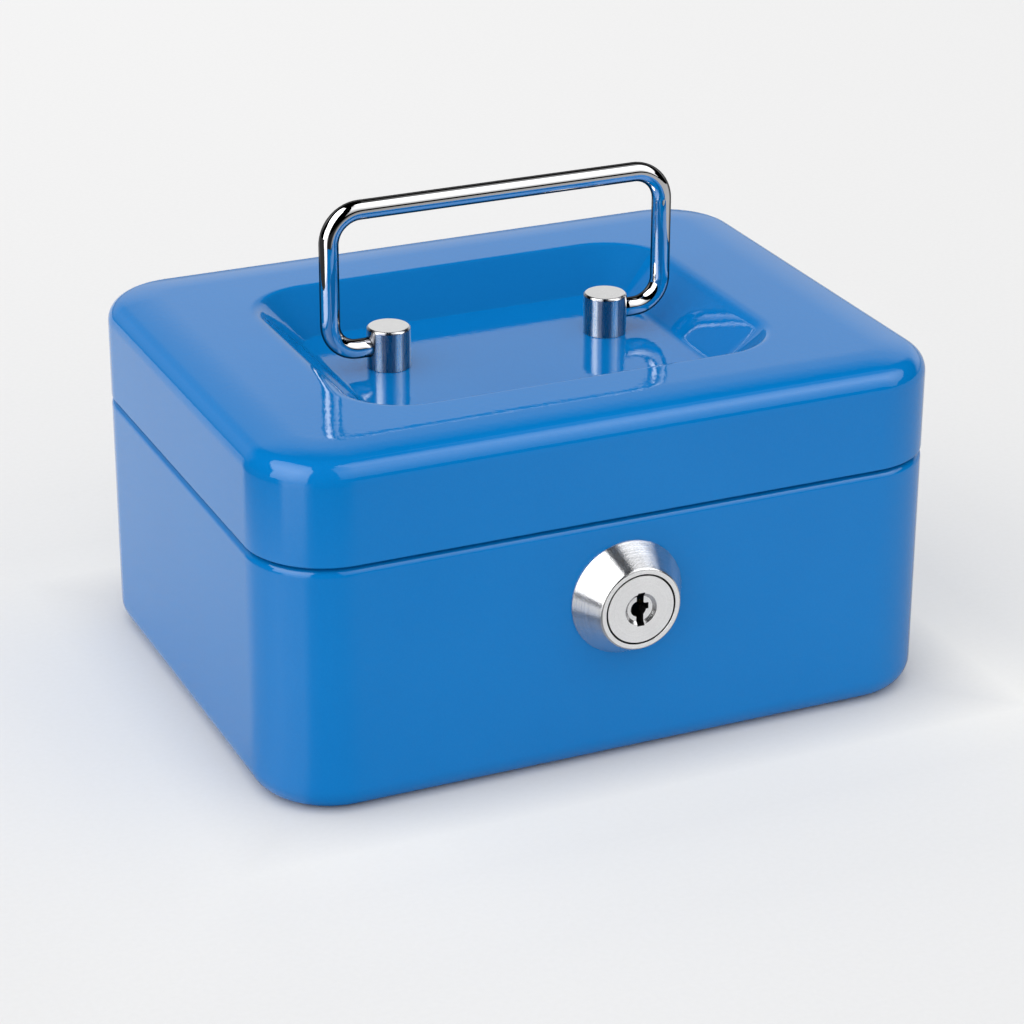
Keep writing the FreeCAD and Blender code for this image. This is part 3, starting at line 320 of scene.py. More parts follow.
def chrome(name, colour, low, high, grain, edge=1.0):
    """Bright plating with a trace of haze; edge dims what is seen at a glancing angle, a painted darker
    reflection.
    """
    nodes = Nodes(name)
    haze = nodes.spread(nodes.noise(scale=grain, detail=3), low, high)
    cloud = nodes.spread(nodes.noise(scale=60), 0, 1)
    tint = nodes.mix_colour(cloud, colour, dimmed(colour, 0.94))
    fine = nodes.bump(nodes.noise(scale=1400), strength=0.03, distance=0.01 * MM)
    # painted reflection: the colour darkens towards the rim when edge is below 1
    rim = nodes.ramp(nodes.facing(), 0.4, 0.56, 0.0, 1.0)
    shaded = nodes.mix_colour(rim, tint, dimmed(colour, edge))
    return nodes.set(Base_Color=shaded, Metallic=1.0, Roughness=haze, Normal=fine,
                     Specular_Tint=(edge, edge, edge))


def plain(name, colour, metallic, low, high, grain, depth):
    """Fine-grained surface for the pieces inside the case."""
    nodes = Nodes(name)
    speckle = nodes.noise(scale=grain, detail=4)
    tint = nodes.mix_colour(nodes.spread(speckle, 0, 1), colour, dimmed(colour, 0.85))
    rough = nodes.spread(nodes.noise(scale=grain / 3, detail=3), low, high)
    fine = nodes.bump(speckle, strength=0.3, distance=depth)
    return nodes.set(Base_Color=tint, Metallic=metallic, Roughness=rough, Normal=fine)


def radial_grain(nodes, axis):
    """Turning marks run round an axis, so reflections are drawn out along it."""
    tangent = nodes.add("ShaderNodeTangent", direction_type="RADIAL", axis=axis)
    nodes.link(tangent.outputs[0], nodes.shader.inputs["Tangent"])
    nodes.set(Anisotropic=0.85, Anisotropic_Rotation=0.25)


def post_chrome():
    """Turned posts: satin chrome with painted reflections in light and dark bands by viewing angle, chosen to
    match the photograph's reflections.
    """
    nodes = Nodes("post_chrome")
    lines = nodes.noise(scale=2200, stretch=(1, 1, 0.08))
    # painted reflections: light and dark bands of colour by viewing angle, with the turning lines added
    painted_reflection_bands = ((0.0, 0.0), (0.1, 0.0), (0.14, 1.0), (0.21, 1.0), (0.28, 0.12), (0.6, 0.12), (0.75, 0.9),
             (1.0, 0.9))
    lines_and_painted_reflections = nodes.plus(nodes.curve(nodes.facing(), painted_reflection_bands), nodes.spread(lines, -0.1, 0.1))
    dark, light = (0.24, 0.25, 0.29), (0.97, 0.94, 0.89)
    radial_grain(nodes, "Z")
    return nodes.set(Base_Color=nodes.mix_colour(lines_and_painted_reflections, dark, light), Metallic=1.0,
                     Roughness=nodes.spread(lines, 0.22, 0.32),
                     Normal=nodes.bump(lines, strength=0.25, distance=0.01 * MM))


def turned(name, light, dark, metallic, low, high, depth):
    """Lathe-turned satin metal: rings about the lock's axis and a fine sparkle."""
    nodes = Nodes(name)
    centred = nodes.add("ShaderNodeVectorMath", operation="MULTIPLY_ADD")
    nodes.link(nodes.place, centred.inputs[0])
    centred.inputs[1].default_value = (1, 0, 1)
    centred.inputs[2].default_value = (0, 0, -LOCK_HEIGHT)
    along = nodes.add("ShaderNodeCombineXYZ")
    nodes.link(nodes.length(centred.outputs[0]), along.inputs["X"])
    rings = nodes.noise(scale=3200, vector=along.outputs[0])
    sparkle = nodes.noise(scale=3600, detail=3)
    mixed = nodes.ramp(nodes.plus(rings, sparkle), 0.75, 1.25, 0, 1)
    ringed = nodes.bump(rings, strength=0.3, distance=depth)
    fine = nodes.bump(sparkle, strength=0.35, distance=depth, below=ringed)
    radial_grain(nodes, "Y")
    return nodes.set(Base_Color=nodes.mix_colour(mixed, dark, light), Metallic=metallic,
                     Roughness=nodes.spread(sparkle, low, high), Normal=fine)


# roughness runs from low to high, grain is a noise scale, and depth in metres is the height of its bump
ENAMEL = enamel("blue_enamel", low=0.035, high=0.06, specular=0.5, shade=1.0)
# duller enamel for the recess's long walls, its colour darkened as painted shade
DULL_SHADED_ENAMEL = enamel("blue_enamel_walls_painted_shade", low=0.3, high=0.4, specular=0.03, shade=0.86)
# edge 0.22 paints darker reflections on the wire's flanks
CHROME = chrome("handle_chrome", (0.90, 0.90, 0.91), low=0.015, high=0.04, grain=300, edge=0.22)
POST = post_chrome()
POST_TOP = chrome("post_top_chrome", (0.97, 0.97, 0.97), low=0.12, high=0.18, grain=500)
NOSE = turned("lock_chrome", (0.86, 0.86, 0.87), (0.62, 0.62, 0.63),
              metallic=0.92, low=0.13, high=0.2, depth=0.04 * MM)
FACE = turned("lock_face_satin", (0.95, 0.95, 0.95), (0.86, 0.86, 0.86),
              metallic=0.45, low=0.28, high=0.38, depth=0.01 * MM)
SHADE = plain("keyway_shade", (0.02, 0.019, 0.018),
              metallic=0.6, low=0.35, high=0.5, grain=900, depth=0.02 * MM)
ZINC = plain("zinc_plate", (0.55, 0.55, 0.53),
             metallic=1.0, low=0.28, high=0.42, grain=900, depth=0.02 * MM)
BRASS = plain("wafer_brass", (0.66, 0.48, 0.2),
              metallic=1.0, low=0.25, high=0.4, grain=900, depth=0.01 * MM)
TRAY = plain("tray_plastic", (0.028, 0.028, 0.031),
             metallic=0.0, low=0.42, high=0.55, grain=1800, depth=0.03 * MM)

# ---------------------------------------------------------------- lid


def recess_walls(angle, foot, rim, depth, dip_angle, dip):
    """(out, up) from the floor's edge outwards: foot arc, straight slope, rim arc, shallow dip to the top.

    foot, rim and dip are radii; the wall climbs at angle and meets the dip at dip_angle, in degrees.
    """
    steps = 12
    lean, shallow = math.radians(angle), math.radians(dip_angle)
    path = arc((0, foot), foot, -90, angle - 90, steps)
    rim_run = rim * (math.sin(lean) - math.sin(shallow))
    rim_rise = rim * (math.cos(shallow) - math.cos(lean))
    dip_rise = dip * (1 - math.cos(shallow))
    rise = depth - path[-1][1] - rim_rise - dip_rise
    foot_out, foot_up = path[-1]
    path += [(foot_out + rise / math.tan(lean) * part, foot_up + rise * part) for part in (0.1, 0.5, 0.9)]
    out, up = foot_out + rise / math.tan(lean), foot_up + rise
    rim_centre = (out + rim * math.sin(lean), up - rim * math.cos(lean))
    path += arc(rim_centre, rim, 90 + angle, 90 + dip_angle, steps)
    out, up = out + rim_run, up + rim_rise
    path += arc((out + dip * math.sin(shallow), depth - dip), dip, 90 + dip_angle, 90, steps)[1:]
    return path


def between(first, last, share):
    return first + (last - first) * share


def recess_rings(floor, top):
    """Rings of the recess's floor and walls, then half the rim's length and half its width."""
    rings = []
    for share in (0.05, 0.3, 0.6, 0.9, 0.985):
        rings.append(rounded_ring(RECESS_FLOOR_X * share, RECESS_FLOOR_Y * share,
                                  RECESS_FLOOR_CORNER * share, floor))
    depth = top - floor
    ends = recess_walls(42, foot=3 * MM, rim=5 * MM, depth=depth, dip_angle=4, dip=14 * MM)
    sides = recess_walls(44.5, foot=1.7 * MM, rim=2.0 * MM, depth=depth, dip_angle=2, dip=8 * MM)
    end_run, side_run = ends[-1][0], sides[-1][0]
    for (end_out, end_up), (side_out, side_up) in zip(ends, sides):
        corner = between(RECESS_FLOOR_CORNER, RECESS_RIM_CORNER, end_out / end_run)
        rings.append(rounded_ring(RECESS_FLOOR_X + end_out, RECESS_FLOOR_Y + side_out, corner,
                                  floor + end_up, floor + side_up))
    return rings, RECESS_FLOOR_X + end_run, RECESS_FLOOR_Y + side_run


def lid_rings():
    """Every ring of the lid's outer skin, from the middle of the recess floor to its lower edge."""
    top = LID_HIGH.z
    rings, rim_x, rim_y = recess_rings(POST_LOW.z + SHEET, top)
    crown, roll, slope = 50 * MM, 4.6 * MM, 10
    lean = math.radians(slope)
    crown_run = crown * math.sin(lean)
    inset = roll - roll * math.sin(lean) + crown_run
    for share in (0.03, 0.5, 0.97):
        half_x, half_y = between(rim_x, HALF_X - inset, share), between(rim_y, HALF_Y - inset, share)
        rings.append(rounded_ring(half_x, half_y, between(RECESS_RIM_CORNER, CORNER - inset, share), top))
    edge = arc((-inset, top - crown), crown, 90, 90 - slope, 12)
    roll_height = top - crown + (crown - roll) * math.cos(lean)
    edge += arc((-roll, roll_height), roll, 90 - slope, 0, 26)[1:]
    edge += [(0, roll_height - 0.2 * MM), (0, (roll_height + LID_LOW.z) / 2), (0, LID_LOW.z + 0.5 * MM)]
    lip = 0.3 * MM
    edge += arc((-lip, LID_LOW.z + lip), lip, 0, -70, 5)
    for out, up in edge:
        rings.append(rounded_ring(HALF_X + out, HALF_Y + out, CORNER + out, up))
    return rings


def make_lid():
    """Pressed lid, with a duller coat and painted shade on the long walls of its recess."""
    data = bmesh.new()
    skin(data, lid_rings(), cap_first=True)
    piece = finish_mesh("lid_pressing", data, "lid", "lid_shell", ENAMEL)
    piece.data.materials.append(DULL_SHADED_ENAMEL)
    steep = math.cos(math.radians(24))
    rim_x, rim_y = 49 * MM, 38 * MM
    for face in piece.data.polygons:
        inside = abs(face.center.y) < rim_y and abs(face.center.x) < rim_x
        # how far round the recess's corners the duller coat and its painted shade reach
        turn_limit = 0.3 if face.center.x > 0 else 0.9
        if inside and face.normal.z < steep and abs(face.normal.y) > turn_limit * abs(face.normal.x):
            face.material_index = 1
    return sheet_solid(piece, SHEET)


def make_base():
    """Pressed tub: rounded foot, straight walls, a shoulder and the set-in rim."""
    foot, shoulder, inset = 5.5 * MM, 1.5 * MM, 1.5 * MM
    shoulder_top = CASE_HIGH.z - 5.3 * MM
    rings = []
    for share in (0.05, 0.5, 0.9, 0.99):
        rings.append(rounded_ring((HALF_X - foot) * share, (HALF_Y - foot) * share,
                                  (CORNER - foot) * share, 0))
    edge = arc((-foot, foot), foot, -90, 0, 24)
    edge += [(0, foot + 0.3 * MM), (0, (foot + shoulder_top) / 2), (0, shoulder_top - shoulder - 0.2 * MM)]
    edge += arc((-shoulder, shoulder_top - shoulder), shoulder, 0, 88, 12)
    rim_top = CASE_HIGH.z
    edge += [(-inset, shoulder_top + 0.15 * MM), (-inset, shoulder_top + 0.6 * MM)]
    edge += [(-inset, rim_top - 0.3 * MM), (-inset - 0.1 * MM, rim_top - 0.05 * MM)]
    edge += [(-inset - 0.25 * MM, rim_top)]
    for out, up in edge:
        rings.append(rounded_ring(HALF_X + out, HALF_Y + out, CORNER + out, up))
    data = bmesh.new()
    skin(data, rings, cap_first=True)
    piece = finish_mesh("base_pressing", data, "base", "base_shell", ENAMEL)
    return sheet_solid(piece, SHEET)

# ---------------------------------------------------------------- handle


def handle_path(wire):
    """(point, direction) along the wire's middle, from one tip round four bends to the other."""
    depth = (WIRE_HIGH.y + WIRE_LOW.y) / 2
    leg = WIRE_HIGH.x - wire
    low = WIRE_LOW.z + wire
    high = WIRE_HIGH.z - wire
    tip = 26.6 * MM
    low_bend, high_bend, hold = 6.2 * MM, 7 * MM, 0.2 * MM
    bend_steps = 20
    bends = (low_bend, high_bend, high_bend, low_bend)
    corners = ((-tip, low), (-leg, low), (-leg, high), (leg, high), (leg, low), (tip, low))
    points = [Vector((x, depth, z)) for x, z in corners]
    inward = Vector((-1, 0, 0))
    path = [(points[0], inward)]
    for last, here, following, bend in zip(points, points[1:], points[2:], bends):
        before, after = (here - last).normalized(), (following - here).normalized()
        centre = here - before * bend + after * bend
        path.append((here - before * (bend + hold), before))
        for step in range(bend_steps + 1):
            turn = math.pi / 2 * step / bend_steps
            spoke = -after * math.cos(turn) + before * math.sin(turn)
            path.append((centre + spoke * bend, before * math.cos(turn) + after * math.sin(turn)))
        path.append((here + after * (bend + hold), after))
    path.append((points[-1], inward))
    return path


def make_handle():
    """Round wire along five straight runs and four bends."""
    wire = (WIRE_HIGH.y - WIRE_LOW.y) / 2
    wire_steps = 40
    across = Vector((0, 1, 0))
    rings = []
    for point, direction in handle_path(wire):
        side = direction.cross(across).normalized()
        turns = [2 * math.pi * step / wire_steps for step in range(wire_steps)]
        rings.append([point + (across * math.cos(turn) + side * math.sin(turn)) * wire for turn in turns])
    data = bmesh.new()
    skin(data, rings, cap_first=True, cap_last=True)
    return finish_mesh("handle_wire", data, "handle", "handle", CHROME)

# ---------------------------------------------------------------- turned pieces

FORWARD = Vector((0, -1, 0))


def lathe(profile, centre, axis, steps):
    """Rings of a turned shape: (radius, distance along the axis) points about a centre."""
    axis = axis.normalized()
    first = axis.orthogonal().normalized()
    second = axis.cross(first)
    rings = []
    for radius, along in profile:
        ring = []
        for step in range(steps):
            turn = 2 * math.pi * step / steps
            spoke = first * math.cos(turn) + second * math.sin(turn)
            ring.append(centre + axis * along + spoke * radius)
        rings.append(ring)
    return rings


def boolean_cut(piece, cutters):
    """Takes the cutters out of a piece and applies the result."""
    for cutter in cutters:
        modifier = piece.modifiers.new("cut", "BOOLEAN")
        modifier.operation = "DIFFERENCE"
        modifier.solver = "EXACT"
        modifier.object = cutter
    bpy.context.view_layer.update()
    evaluated = piece.evaluated_get(bpy.context.evaluated_depsgraph_get())
    mesh = bpy.data.meshes.new_from_object(evaluated)
    piece.modifiers.clear()
    piece.data = mesh
    for cutter in cutters:
        bpy.data.objects.remove(cutter)


def smooth_by_angle(piece, degrees):
    """Sharp edges where faces meet steeply, smooth elsewhere."""
    data = bmesh.new()
    data.from_mesh(piece.data)
    for edge in data.edges:
        edge.smooth = not (len(edge.link_faces) == 2 and edge.calc_face_angle(0) > math.radians(degrees))
    for face in data.faces:
        face.smooth = True
    data.to_mesh(piece.data)
    data.free()


def loose_solid(name, rings):
    """A closed turned solid, used as a cutter."""
    data = bmesh.new()
    skin(data, rings, cap_first=True, cap_last=True)
    bmesh.ops.recalc_face_normals(data, faces=data.faces)
    return add_object(name, data)


def make_post(side, sign):
    """Turned post with a bevelled top, a sharp foot and the wire's socket."""
    node = "handle_post_" + side
    low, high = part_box(node)
    radius = (high.y - low.y) / 2
    centre = Vector(((low.x + high.x) / 2, (low.y + high.y) / 2, 0))
    floor = low.z + SHEET
    bevel = 0.45 * MM
    soft = 0.08 * MM
    foot_bevel, spigot, middle = 0.12 * MM, 2.9 * MM, 0.3 * MM
    profile = [(middle, high.z), (radius - bevel - 2 * soft, high.z), (radius - bevel - soft, high.z)]
    profile += [(radius - bevel + 0.7 * soft, high.z - 0.4 * soft)]
    profile += [(radius - 0.4 * soft, high.z - bevel + 0.7 * soft)]
    profile += [(radius, high.z - bevel - soft), (radius, high.z - bevel - 2 * soft)]
    profile += [(radius, floor + 0.5 * MM), (radius, floor + foot_bevel), (radius - foot_bevel, floor)]
    profile += [(spigot, floor), (spigot, low.z), (middle, low.z)]
    data = bmesh.new()
    skin(data, lathe(profile, centre, Vector((0, 0, 1)), 96), cap_first=True, cap_last=True)
    piece = finish_mesh(node + "_turned", data, "lid", node, POST)
    wire = (WIRE_HIGH.y - WIRE_LOW.y) / 2
    socket, socket_floor, reach = wire + 0.1 * MM, 26.2 * MM, 12 * MM
    start = Vector((sign * socket_floor, (WIRE_HIGH.y + WIRE_LOW.y) / 2, WIRE_LOW.z + wire))
    bore = lathe([(socket, 0), (socket, reach)], start, Vector((sign, 0, 0)), 64)
    boolean_cut(piece, [loose_solid("socket_cutter", bore)])
    smooth_by_angle(piece, 35)
    piece.data.materials.append(POST_TOP)
    for face in piece.data.polygons:
        if face.normal.z > 0.9:
            face.material_index = len(piece.data.materials) - 1
    return piece


def make_lock_nose():
    """Conical nose with a soft face edge, and the barrel behind it."""
    centre = Vector(((NOSE_LOW.x + NOSE_HIGH.x) / 2, 0, (NOSE_LOW.z + NOSE_HIGH.z) / 2))
    flare = (NOSE_HIGH.x - NOSE_LOW.x) / 2
    front = -NOSE_LOW.y
    back = -NOSE_HIGH.y
    wall = HALF_Y
    face, pocket, bore, barrel = 8.8 * MM, 7.75 * MM, 6.08 * MM, 9 * MM
    pocket_floor = front - 1.88 * MM
    profile = [(bore, back), (barrel, back), (barrel, wall), (flare - 0.1 * MM, wall)]
    profile += [(flare, wall + 0.12 * MM), (flare, wall + 0.3 * MM), (flare - 0.12 * MM, wall + 0.5 * MM)]
    profile += [(flare - 0.35 * MM, wall + 0.85 * MM)]
    profile += [(face + 0.42 * MM, front - 0.62 * MM), (face + 0.22 * MM, front - 0.3 * MM)]
    profile += [(face + 0.08 * MM, front - 0.1 * MM), (face - 0.12 * MM, front - 0.02 * MM)]
    profile += [(face - 0.3 * MM, front), (pocket + 0.2 * MM, front), (pocket + 0.06 * MM, front - 0.03 * MM)]
    profile += [(pocket, front - 0.12 * MM), (pocket, pocket_floor), (bore, pocket_floor), (bore, back)]
    data = bmesh.new()
    skin(data, lathe(profile, centre, FORWARD, 160))
    bmesh.ops.remove_doubles(data, verts=data.verts, dist=1e-7)
    piece = finish_mesh("lock_nose", data, "base", "lock_housing", NOSE)
    smooth_by_angle(piece, 40)
    paint_lock_faces(piece, centre, front, pocket + 0.02 * MM, face)
    return piece


def paint_lock_faces(piece, centre, front, dark_radius, face_radius, dark_depth=0.1 * MM):
    """Satin finish on the flat front, shade on what lies behind it inside a radius, chrome in the dish."""
    flat_depth, dish_radius, dish_depth = 0.03 * MM, 3.6 * MM, 0.58 * MM
    for finish in (FACE, SHADE, NOSE):
        if finish.name not in piece.data.materials:
            piece.data.materials.append(finish)
    slots = {material.name: number for number, material in enumerate(piece.data.materials)}
    for polygon in piece.data.polygons:
        offset = polygon.center - centre
        radius, depth = math.hypot(offset.x, offset.z), front + polygon.center.y
        if depth > dark_depth and radius < dark_radius:
            polygon.material_index = slots[SHADE.name]
        elif depth < flat_depth and radius < face_radius:
            polygon.material_index = slots[FACE.name]
        elif radius < dish_radius and depth < dish_depth:
            polygon.material_index = slots[NOSE.name]


def make_lock_plug():
    """Plug: satin face in the nose's pocket, dished middle, keyway with a side ward and a round middle."""
    low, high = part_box("lock_plug")
    front, back = -low.y, -high.y
    centre = Vector(((low.x + high.x) / 2, 0, (low.z + high.z) / 2))
    edge, shank, soft = (high.x - low.x) / 2, 6 * MM, 0.1 * MM
    dish_rim, dish_floor, dish = 3.45 * MM, 2.8 * MM, 0.6 * MM
    middle, head_back = 0.05 * MM, front - 1.8 * MM
    profile = [(middle, back), (shank, back), (shank, head_back), (edge, head_back)]
    profile += [(edge, front - 2 * soft), (edge, front - soft), (edge - 0.3 * soft, front - 0.3 * soft)]
    profile += [(edge - soft, front), (edge - 2 * soft, front), (dish_rim + 0.25 * MM, front)]
    profile += [(dish_rim + 0.1 * MM, front - 0.01 * MM), (dish_rim, front - 0.06 * MM)]
    profile += [(dish_floor + 0.12 * MM, front - dish + 0.08 * MM), (dish_floor, front - dish)]
    profile += [(dish_floor - 0.2 * MM, front - dish), (middle, front - dish)]
    data = bmesh.new()
    skin(data, lathe(profile, centre, FORWARD, 128), cap_first=True, cap_last=True)
    piece = finish_mesh("lock_plug_turned", data, "lock_plug", "lock_plug", FACE)
    boolean_cut(piece, keyway_cutters(centre, front))
    smooth_by_angle(piece, 35)
    paint_lock_faces(piece, centre, front, edge + soft, edge, dish + 0.05 * MM)
    for polygon in piece.data.polygons:
        offset = polygon.center - centre
        if math.hypot(offset.x, offset.z) > edge - soft / 2 and front + polygon.center.y > 2 * soft:
            polygon.material_index = list(piece.data.materials).index(SHADE)
    return piece


def block(name, low, high):
    """A rectangular cutter between two corners."""
    data = bmesh.new()
    bmesh.ops.create_cube(data, size=1)
    size = high - low
    for vertex in data.verts:
        share = vertex.co + Vector((0.5, 0.5, 0.5))
        vertex.co = low + Vector((share.x * size.x, share.y * size.y, share.z * size.z))
    return add_object(name, data)


def keyway_cutters(centre, front):
    """Slot, side ward and round middle of the keyhole."""
    ahead, depth, hole_depth = 0.5 * MM, 13.5 * MM, 2.6 * MM
    slot_half, slot_reach, hole_radius = 0.8 * MM, 3.7 * MM, 1.75 * MM
    ward_low, ward_high, ward_reach = -0.3 * MM, 1.1 * MM, 1.9 * MM
    slot = block("slot_cutter", centre + Vector((-slot_half, -front - ahead, -slot_reach)),
                 centre + Vector((slot_half, -front + depth, slot_reach)))
    ward = block("ward_cutter", centre + Vector((0, -front - ahead, ward_low)),
                 centre + Vector((ward_reach, -front + depth, ward_high)))
    middle = centre + Vector((-0.35 * MM, 0, 0))
    hole = lathe([(hole_radius, front + ahead), (hole_radius, front - hole_depth)], middle, FORWARD, 48)
    return [slot, ward, loose_solid("hole_cutter", hole)]


make_lid()
make_base()
make_handle()
for post_side, post_sign in (("left", -1), ("right", 1)):
    make_post(post_side, post_sign)
make_lock_nose()
make_lock_plug()

CAD_FINISHES = (
    (ENAMEL, ("hinge_leaf_base", "hinge_leaf_lid", "hinge_rivets_base", "hinge_rivets_lid",
              "lid_keeper", "tray_ledge_left", "tray_ledge_right")),
    (ZINC, ("lock_nut", "lock_washer", "lock_cam", "cam_screw", "post_screws", "post_washers",
            "hinge_pin", "wafer_springs")),
    (BRASS, ("lock_wafers",)),
    (TRAY, ("coin_tray",)),
)
for finish, cad_names in CAD_FINISHES:
    for cad_name in cad_names:
        cad_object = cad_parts[cad_name]
        if not cad_object.data.materials:
            cad_object.data.materials.append(finish)
        for cad_slot in cad_object.material_slots:
            cad_slot.material = finish

# ---------------------------------------------------------------- stage, light and camera


def painted_floor_falloff(nodes):
    """Painted falloff of the light: the paper is slightly darker to the left, the right and the front."""
    x, y, _ = nodes.components(nodes.place)
    across = nodes.math("ABSOLUTE", nodes.math("SUBTRACT", x, 0.02))
    sides = nodes.ramp(across, 0.08, 0.40, 1.0, 0.97)
    depth = nodes.ramp(y, -0.25, 0.6, 0.955, 1.0)
    return nodes.times(sides, depth)


def mirrored_share(nodes):
    """How bright the paper looks in the gloss surfaces, chosen to match the photograph's reflections.

    It varies by bearing and distance from the near left corner.
    """
    from_corner = nodes.add("ShaderNodeVectorMath", operation="SUBTRACT")
    nodes.link(nodes.place, from_corner.inputs[0])
    from_corner.inputs[1].default_value = (-0.06, -0.045, 0)
    offset = from_corner.outputs[0]
    x, y, _ = nodes.components(offset)
    bearing = nodes.times(nodes.math("ARCTAN2", x, y), 180 / math.pi)
    close = nodes.curve(bearing, (
        (-180, 0.22), (-150, 0.2), (-138, 0.3), (-128, 0.85), (-95, 1.0), (-75, 0.75), (-55, 0.7),
        (-40, 0.9), (0, 1.0), (60, 0.75), (90, 0.6), (140, 0.42), (160, 0.36), (180, 0.22)))
    away = nodes.curve(bearing, (
        (-180, 0.02), (-145, 0.02), (-138, 0.4), (-132, 1.7), (-106, 1.7), (-98, 0.03), (-36, 0.05),
        (-28, 0.95), (0, 1.0), (60, 0.75), (90, 0.6), (140, 0.5), (156, 0.42), (170, 0.05), (180, 0.02)))
    farness = nodes.ramp(nodes.length(offset), 0.13, 0.2, 0, 1)
    return nodes.mix_value(farness, close, away)


def lifted_shade(nodes):
    """Emission that lifts the case's shadow to match the photograph: none at the foot, most just outside."""
    x, y, _ = nodes.components(nodes.place)
    beyond_x = nodes.math("SUBTRACT", nodes.math("ABSOLUTE", x), HALF_X)
    beyond_y = nodes.math("SUBTRACT", nodes.math("ABSOLUTE", y), HALF_Y)
    gap = nodes.math("MAXIMUM", beyond_x, beyond_y)
    right = nodes.ramp(x, -0.09, -0.05, 0.35, 1.0)
    lift = ((0.0, 0.0), (0.004, 0.04), (0.015, 0.15), (0.03, 0.07), (0.06, 0.02), (0.12, 0.0))
    return nodes.times(right, nodes.curve(gap, lift))


def paper():
    """Matt white studio paper with a painted falloff of light, toned separately where it is mirrored and
    lifted in the case's shadow.
    """
    nodes = Nodes("studio_paper")
    grain = nodes.spread(nodes.noise(scale=800, detail=3), 0, 1)
    white = nodes.mix_colour(grain, (0.758, 0.757, 0.757), (0.772, 0.771, 0.771))
    # painted falloff of light across the paper
    direct = nodes.scaled(white, painted_floor_falloff(nodes))
    reflected = nodes.scaled(direct, mirrored_share(nodes))
    mirrored = nodes.mirrored()
    colour = nodes.mix_colour(mirrored, direct, reflected)
    lift = nodes.times(lifted_shade(nodes), nodes.math("SUBTRACT", 1.0, mirrored))
    return nodes.set(Base_Color=colour, Roughness=0.9, Specular_IOR_Level=0.0,
                     Emission_Color=(1.0, 0.95, 0.8), Emission_Strength=lift)


def make_floor():
    """Large flat sheet of paper under the case."""
    data = bmesh.new()
    reach = 6.0
    corners = ((-reach, -reach), (reach, -reach), (reach, reach), (-reach, reach))
    data.faces.new([data.verts.new((x, y, 0)) for x, y in corners])
    floor = add_object("floor", data)
    floor.data.materials.append(paper())


class Sky(Nodes):
    """Node calls for the studio's surroundings, described by direction in degrees.

    Azimuth is 0 behind the case (+Y) and grows towards +X; elevation is 0 at the horizon.
    """

    def __init__(self, world):
        self.tree = world.node_tree
        self.direction = self.add("ShaderNodeTexCoord").outputs["Generated"]
        x, y, self.height = self.components(self.direction)
        self.elevation = self.times(self.math("ARCSINE", self.height), 180 / math.pi)
        self.azimuth = self.times(self.math("ARCTAN2", x, y), 180 / math.pi)

    def patch(self, lower, upper, across, up, edge=1.5):
        """A lit region between two edges given over azimuth; its strength varies across and up it."""
        above = self.math("SUBTRACT", self.elevation, self.curve(self.azimuth, lower))
        below = self.math("SUBTRACT", self.curve(self.azimuth, upper), self.elevation)
        inside = self.times(self.ramp(above, 0, edge, 0, 1), self.ramp(below, 0, edge, 0, 1))
        strength = self.times(self.curve(self.azimuth, across), self.curve(self.elevation, up))
        return self.times(inside, strength)


def backdrop_glow(sky):
    """White screen behind the case, brighter to the right, that fades out upwards."""
    return sky.patch(
        lower=((-180, -3), (180, -2)),
        upper=((-45, 32), (-20, 34), (0, 38), (25, 41), (45, 35), (60, 29), (70, 24), (80, 16), (90, 5)),
        across=((-46, 0.0), (-40, 0.15), (-20, 0.45), (0, 0.52), (19, 0.76), (25, 0.66), (30, 0.68),
                (60, 0.95), (80, 0.6), (88, 0)),
        up=((0, 1.05), (15, 1.15), (19, 1.1), (22, 1.0), (25, 0.8), (30, 0.7)), edge=9)


def left_softbox(sky):
    """Tall softbox at the left; its upper part leans in over the case."""
    return sky.patch(
        lower=((-88, -40), (-84, 26), (-75, 33), (-55, 45), (-36, 53), (-30, 64)),
        upper=((-140, 60), (-120, 73), (-95, 80), (-50, 75), (-30, 66)),
        across=((-139, 0.0), (-136, 0.75), (-115, 1.0), (-80, 0.95), (-50, 0.65), (-33, 0.6), (-30, 0.0)),
        up=((-20, 1.0), (0, 1.8), (20, 3.0), (45, 4.0), (60, 3.5), (78, 2.3)))


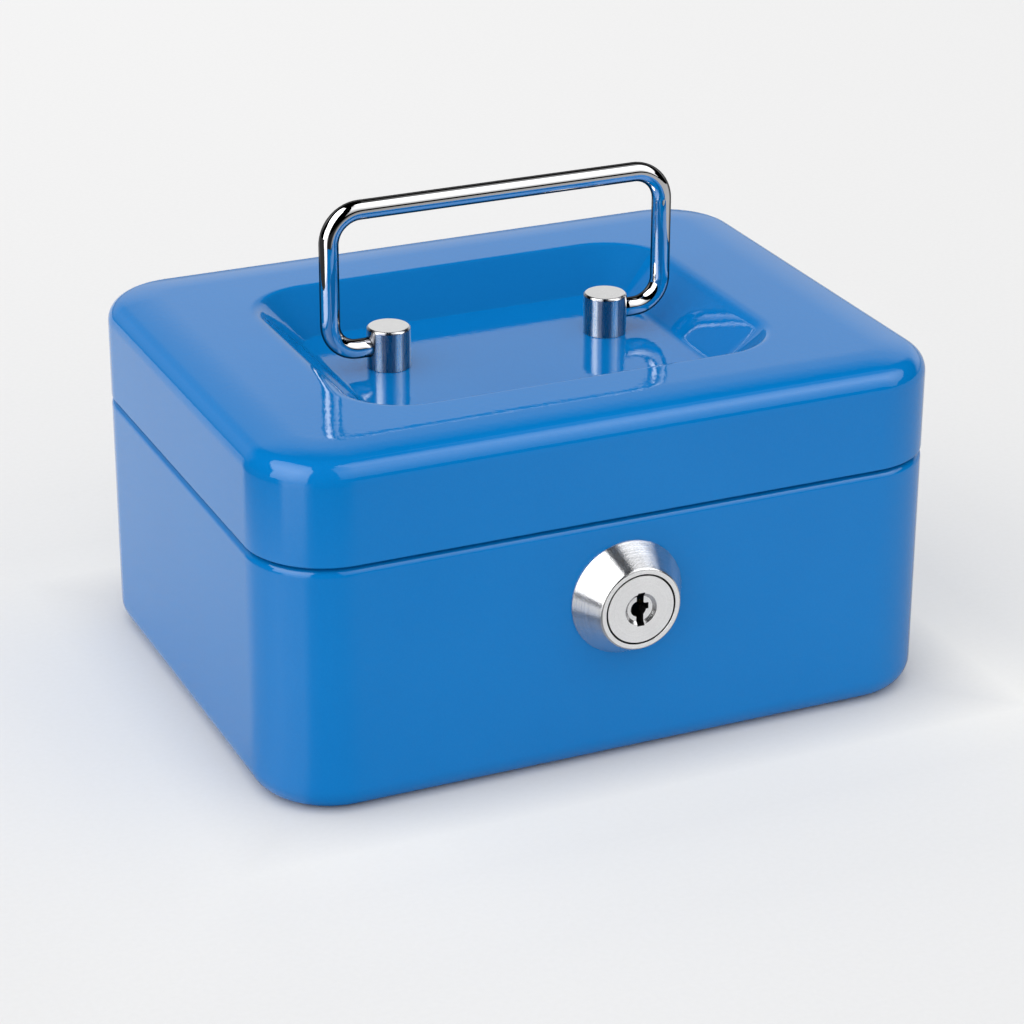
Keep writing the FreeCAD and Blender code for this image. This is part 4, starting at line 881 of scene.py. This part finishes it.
def right_softbox(sky):
    """Softbox above and to the right of the camera, over the front of the case."""
    return sky.patch(
        lower=((40, 60), (70, 47), (90, 37), (110, 23), (126, 14), (130, 3), (137, 6), (150, 13), (175, 14)),
        upper=((40, 61), (60, 66), (80, 73), (100, 80), (135, 83), (180, 73)),
        across=((40, 0.1), (78, 0.12), (94, 0.65), (120, 1.0), (130, 1.0), (145, 0.62), (165, 0.42),
                (180, 0.35)),
        up=((5, 0.9), (20, 1.3), (35, 2.4), (50, 3.2), (60, 2.6), (75, 2.0)))


def fill_light(sky):
    """What lights the matt colours: soft from all round, stronger from overhead and from the near left."""
    toward = sky.add("ShaderNodeVectorMath", operation="DOT_PRODUCT")
    sky.link(sky.direction, toward.inputs[0])
    toward.inputs[1].default_value = (-0.555, -0.375, 0)
    overhead = sky.times(sky.times(sky.height, sky.height), 0.8)
    return sky.plus(sky.plus(toward.outputs["Value"], 0.79), overhead)


def make_light():
    """Surroundings for the reflections and a separate soft fill for the matt colours."""
    world = bpy.data.worlds.new("studio")
    bpy.context.scene.world = world
    world.use_nodes = True
    world.cycles.sampling_method = "NONE"
    sky = Sky(world)
    studio = sky.plus(sky.plus(backdrop_glow(sky), left_softbox(sky)), right_softbox(sky))
    background = world.node_tree.nodes["Background"]
    background.inputs["Color"].default_value = (1, 1, 1, 1)
    sky.link(sky.mix_value(sky.mirrored(), fill_light(sky), studio), background.inputs["Strength"])


def make_camera():
    """The photograph's viewing angle: left of the front, a little above, with a long lens."""
    azimuth, elevation, roll = math.radians(-24.188), math.radians(24.064), math.radians(0.199)
    distance = 0.7131
    target = Vector((0.786, -0.070, 31.883)) * MM
    back = Vector((math.sin(azimuth) * math.cos(elevation), -math.cos(azimuth) * math.cos(elevation),
                   math.sin(elevation)))
    right = Vector((math.cos(azimuth), math.sin(azimuth), 0))
    up = back.cross(right)
    rolled_right = right * math.cos(roll) + up * math.sin(roll)
    rolled_up = up * math.cos(roll) - right * math.sin(roll)
    lens = bpy.data.cameras.new("camera")
    lens.sensor_width = 36  # millimetres, as is the focal length below
    lens.lens = 113.63
    lens.clip_start = 0.01
    camera = bpy.data.objects.new("camera", lens)
    bpy.context.scene.collection.objects.link(camera)
    turn = Matrix((rolled_right, rolled_up, back)).transposed()
    camera.matrix_world = Matrix.Translation(target + back * distance) @ turn.to_4x4()
    bpy.context.scene.camera = camera


make_floor()
make_light()
make_camera()
bpy.context.scene.view_settings.view_transform = "Standard"
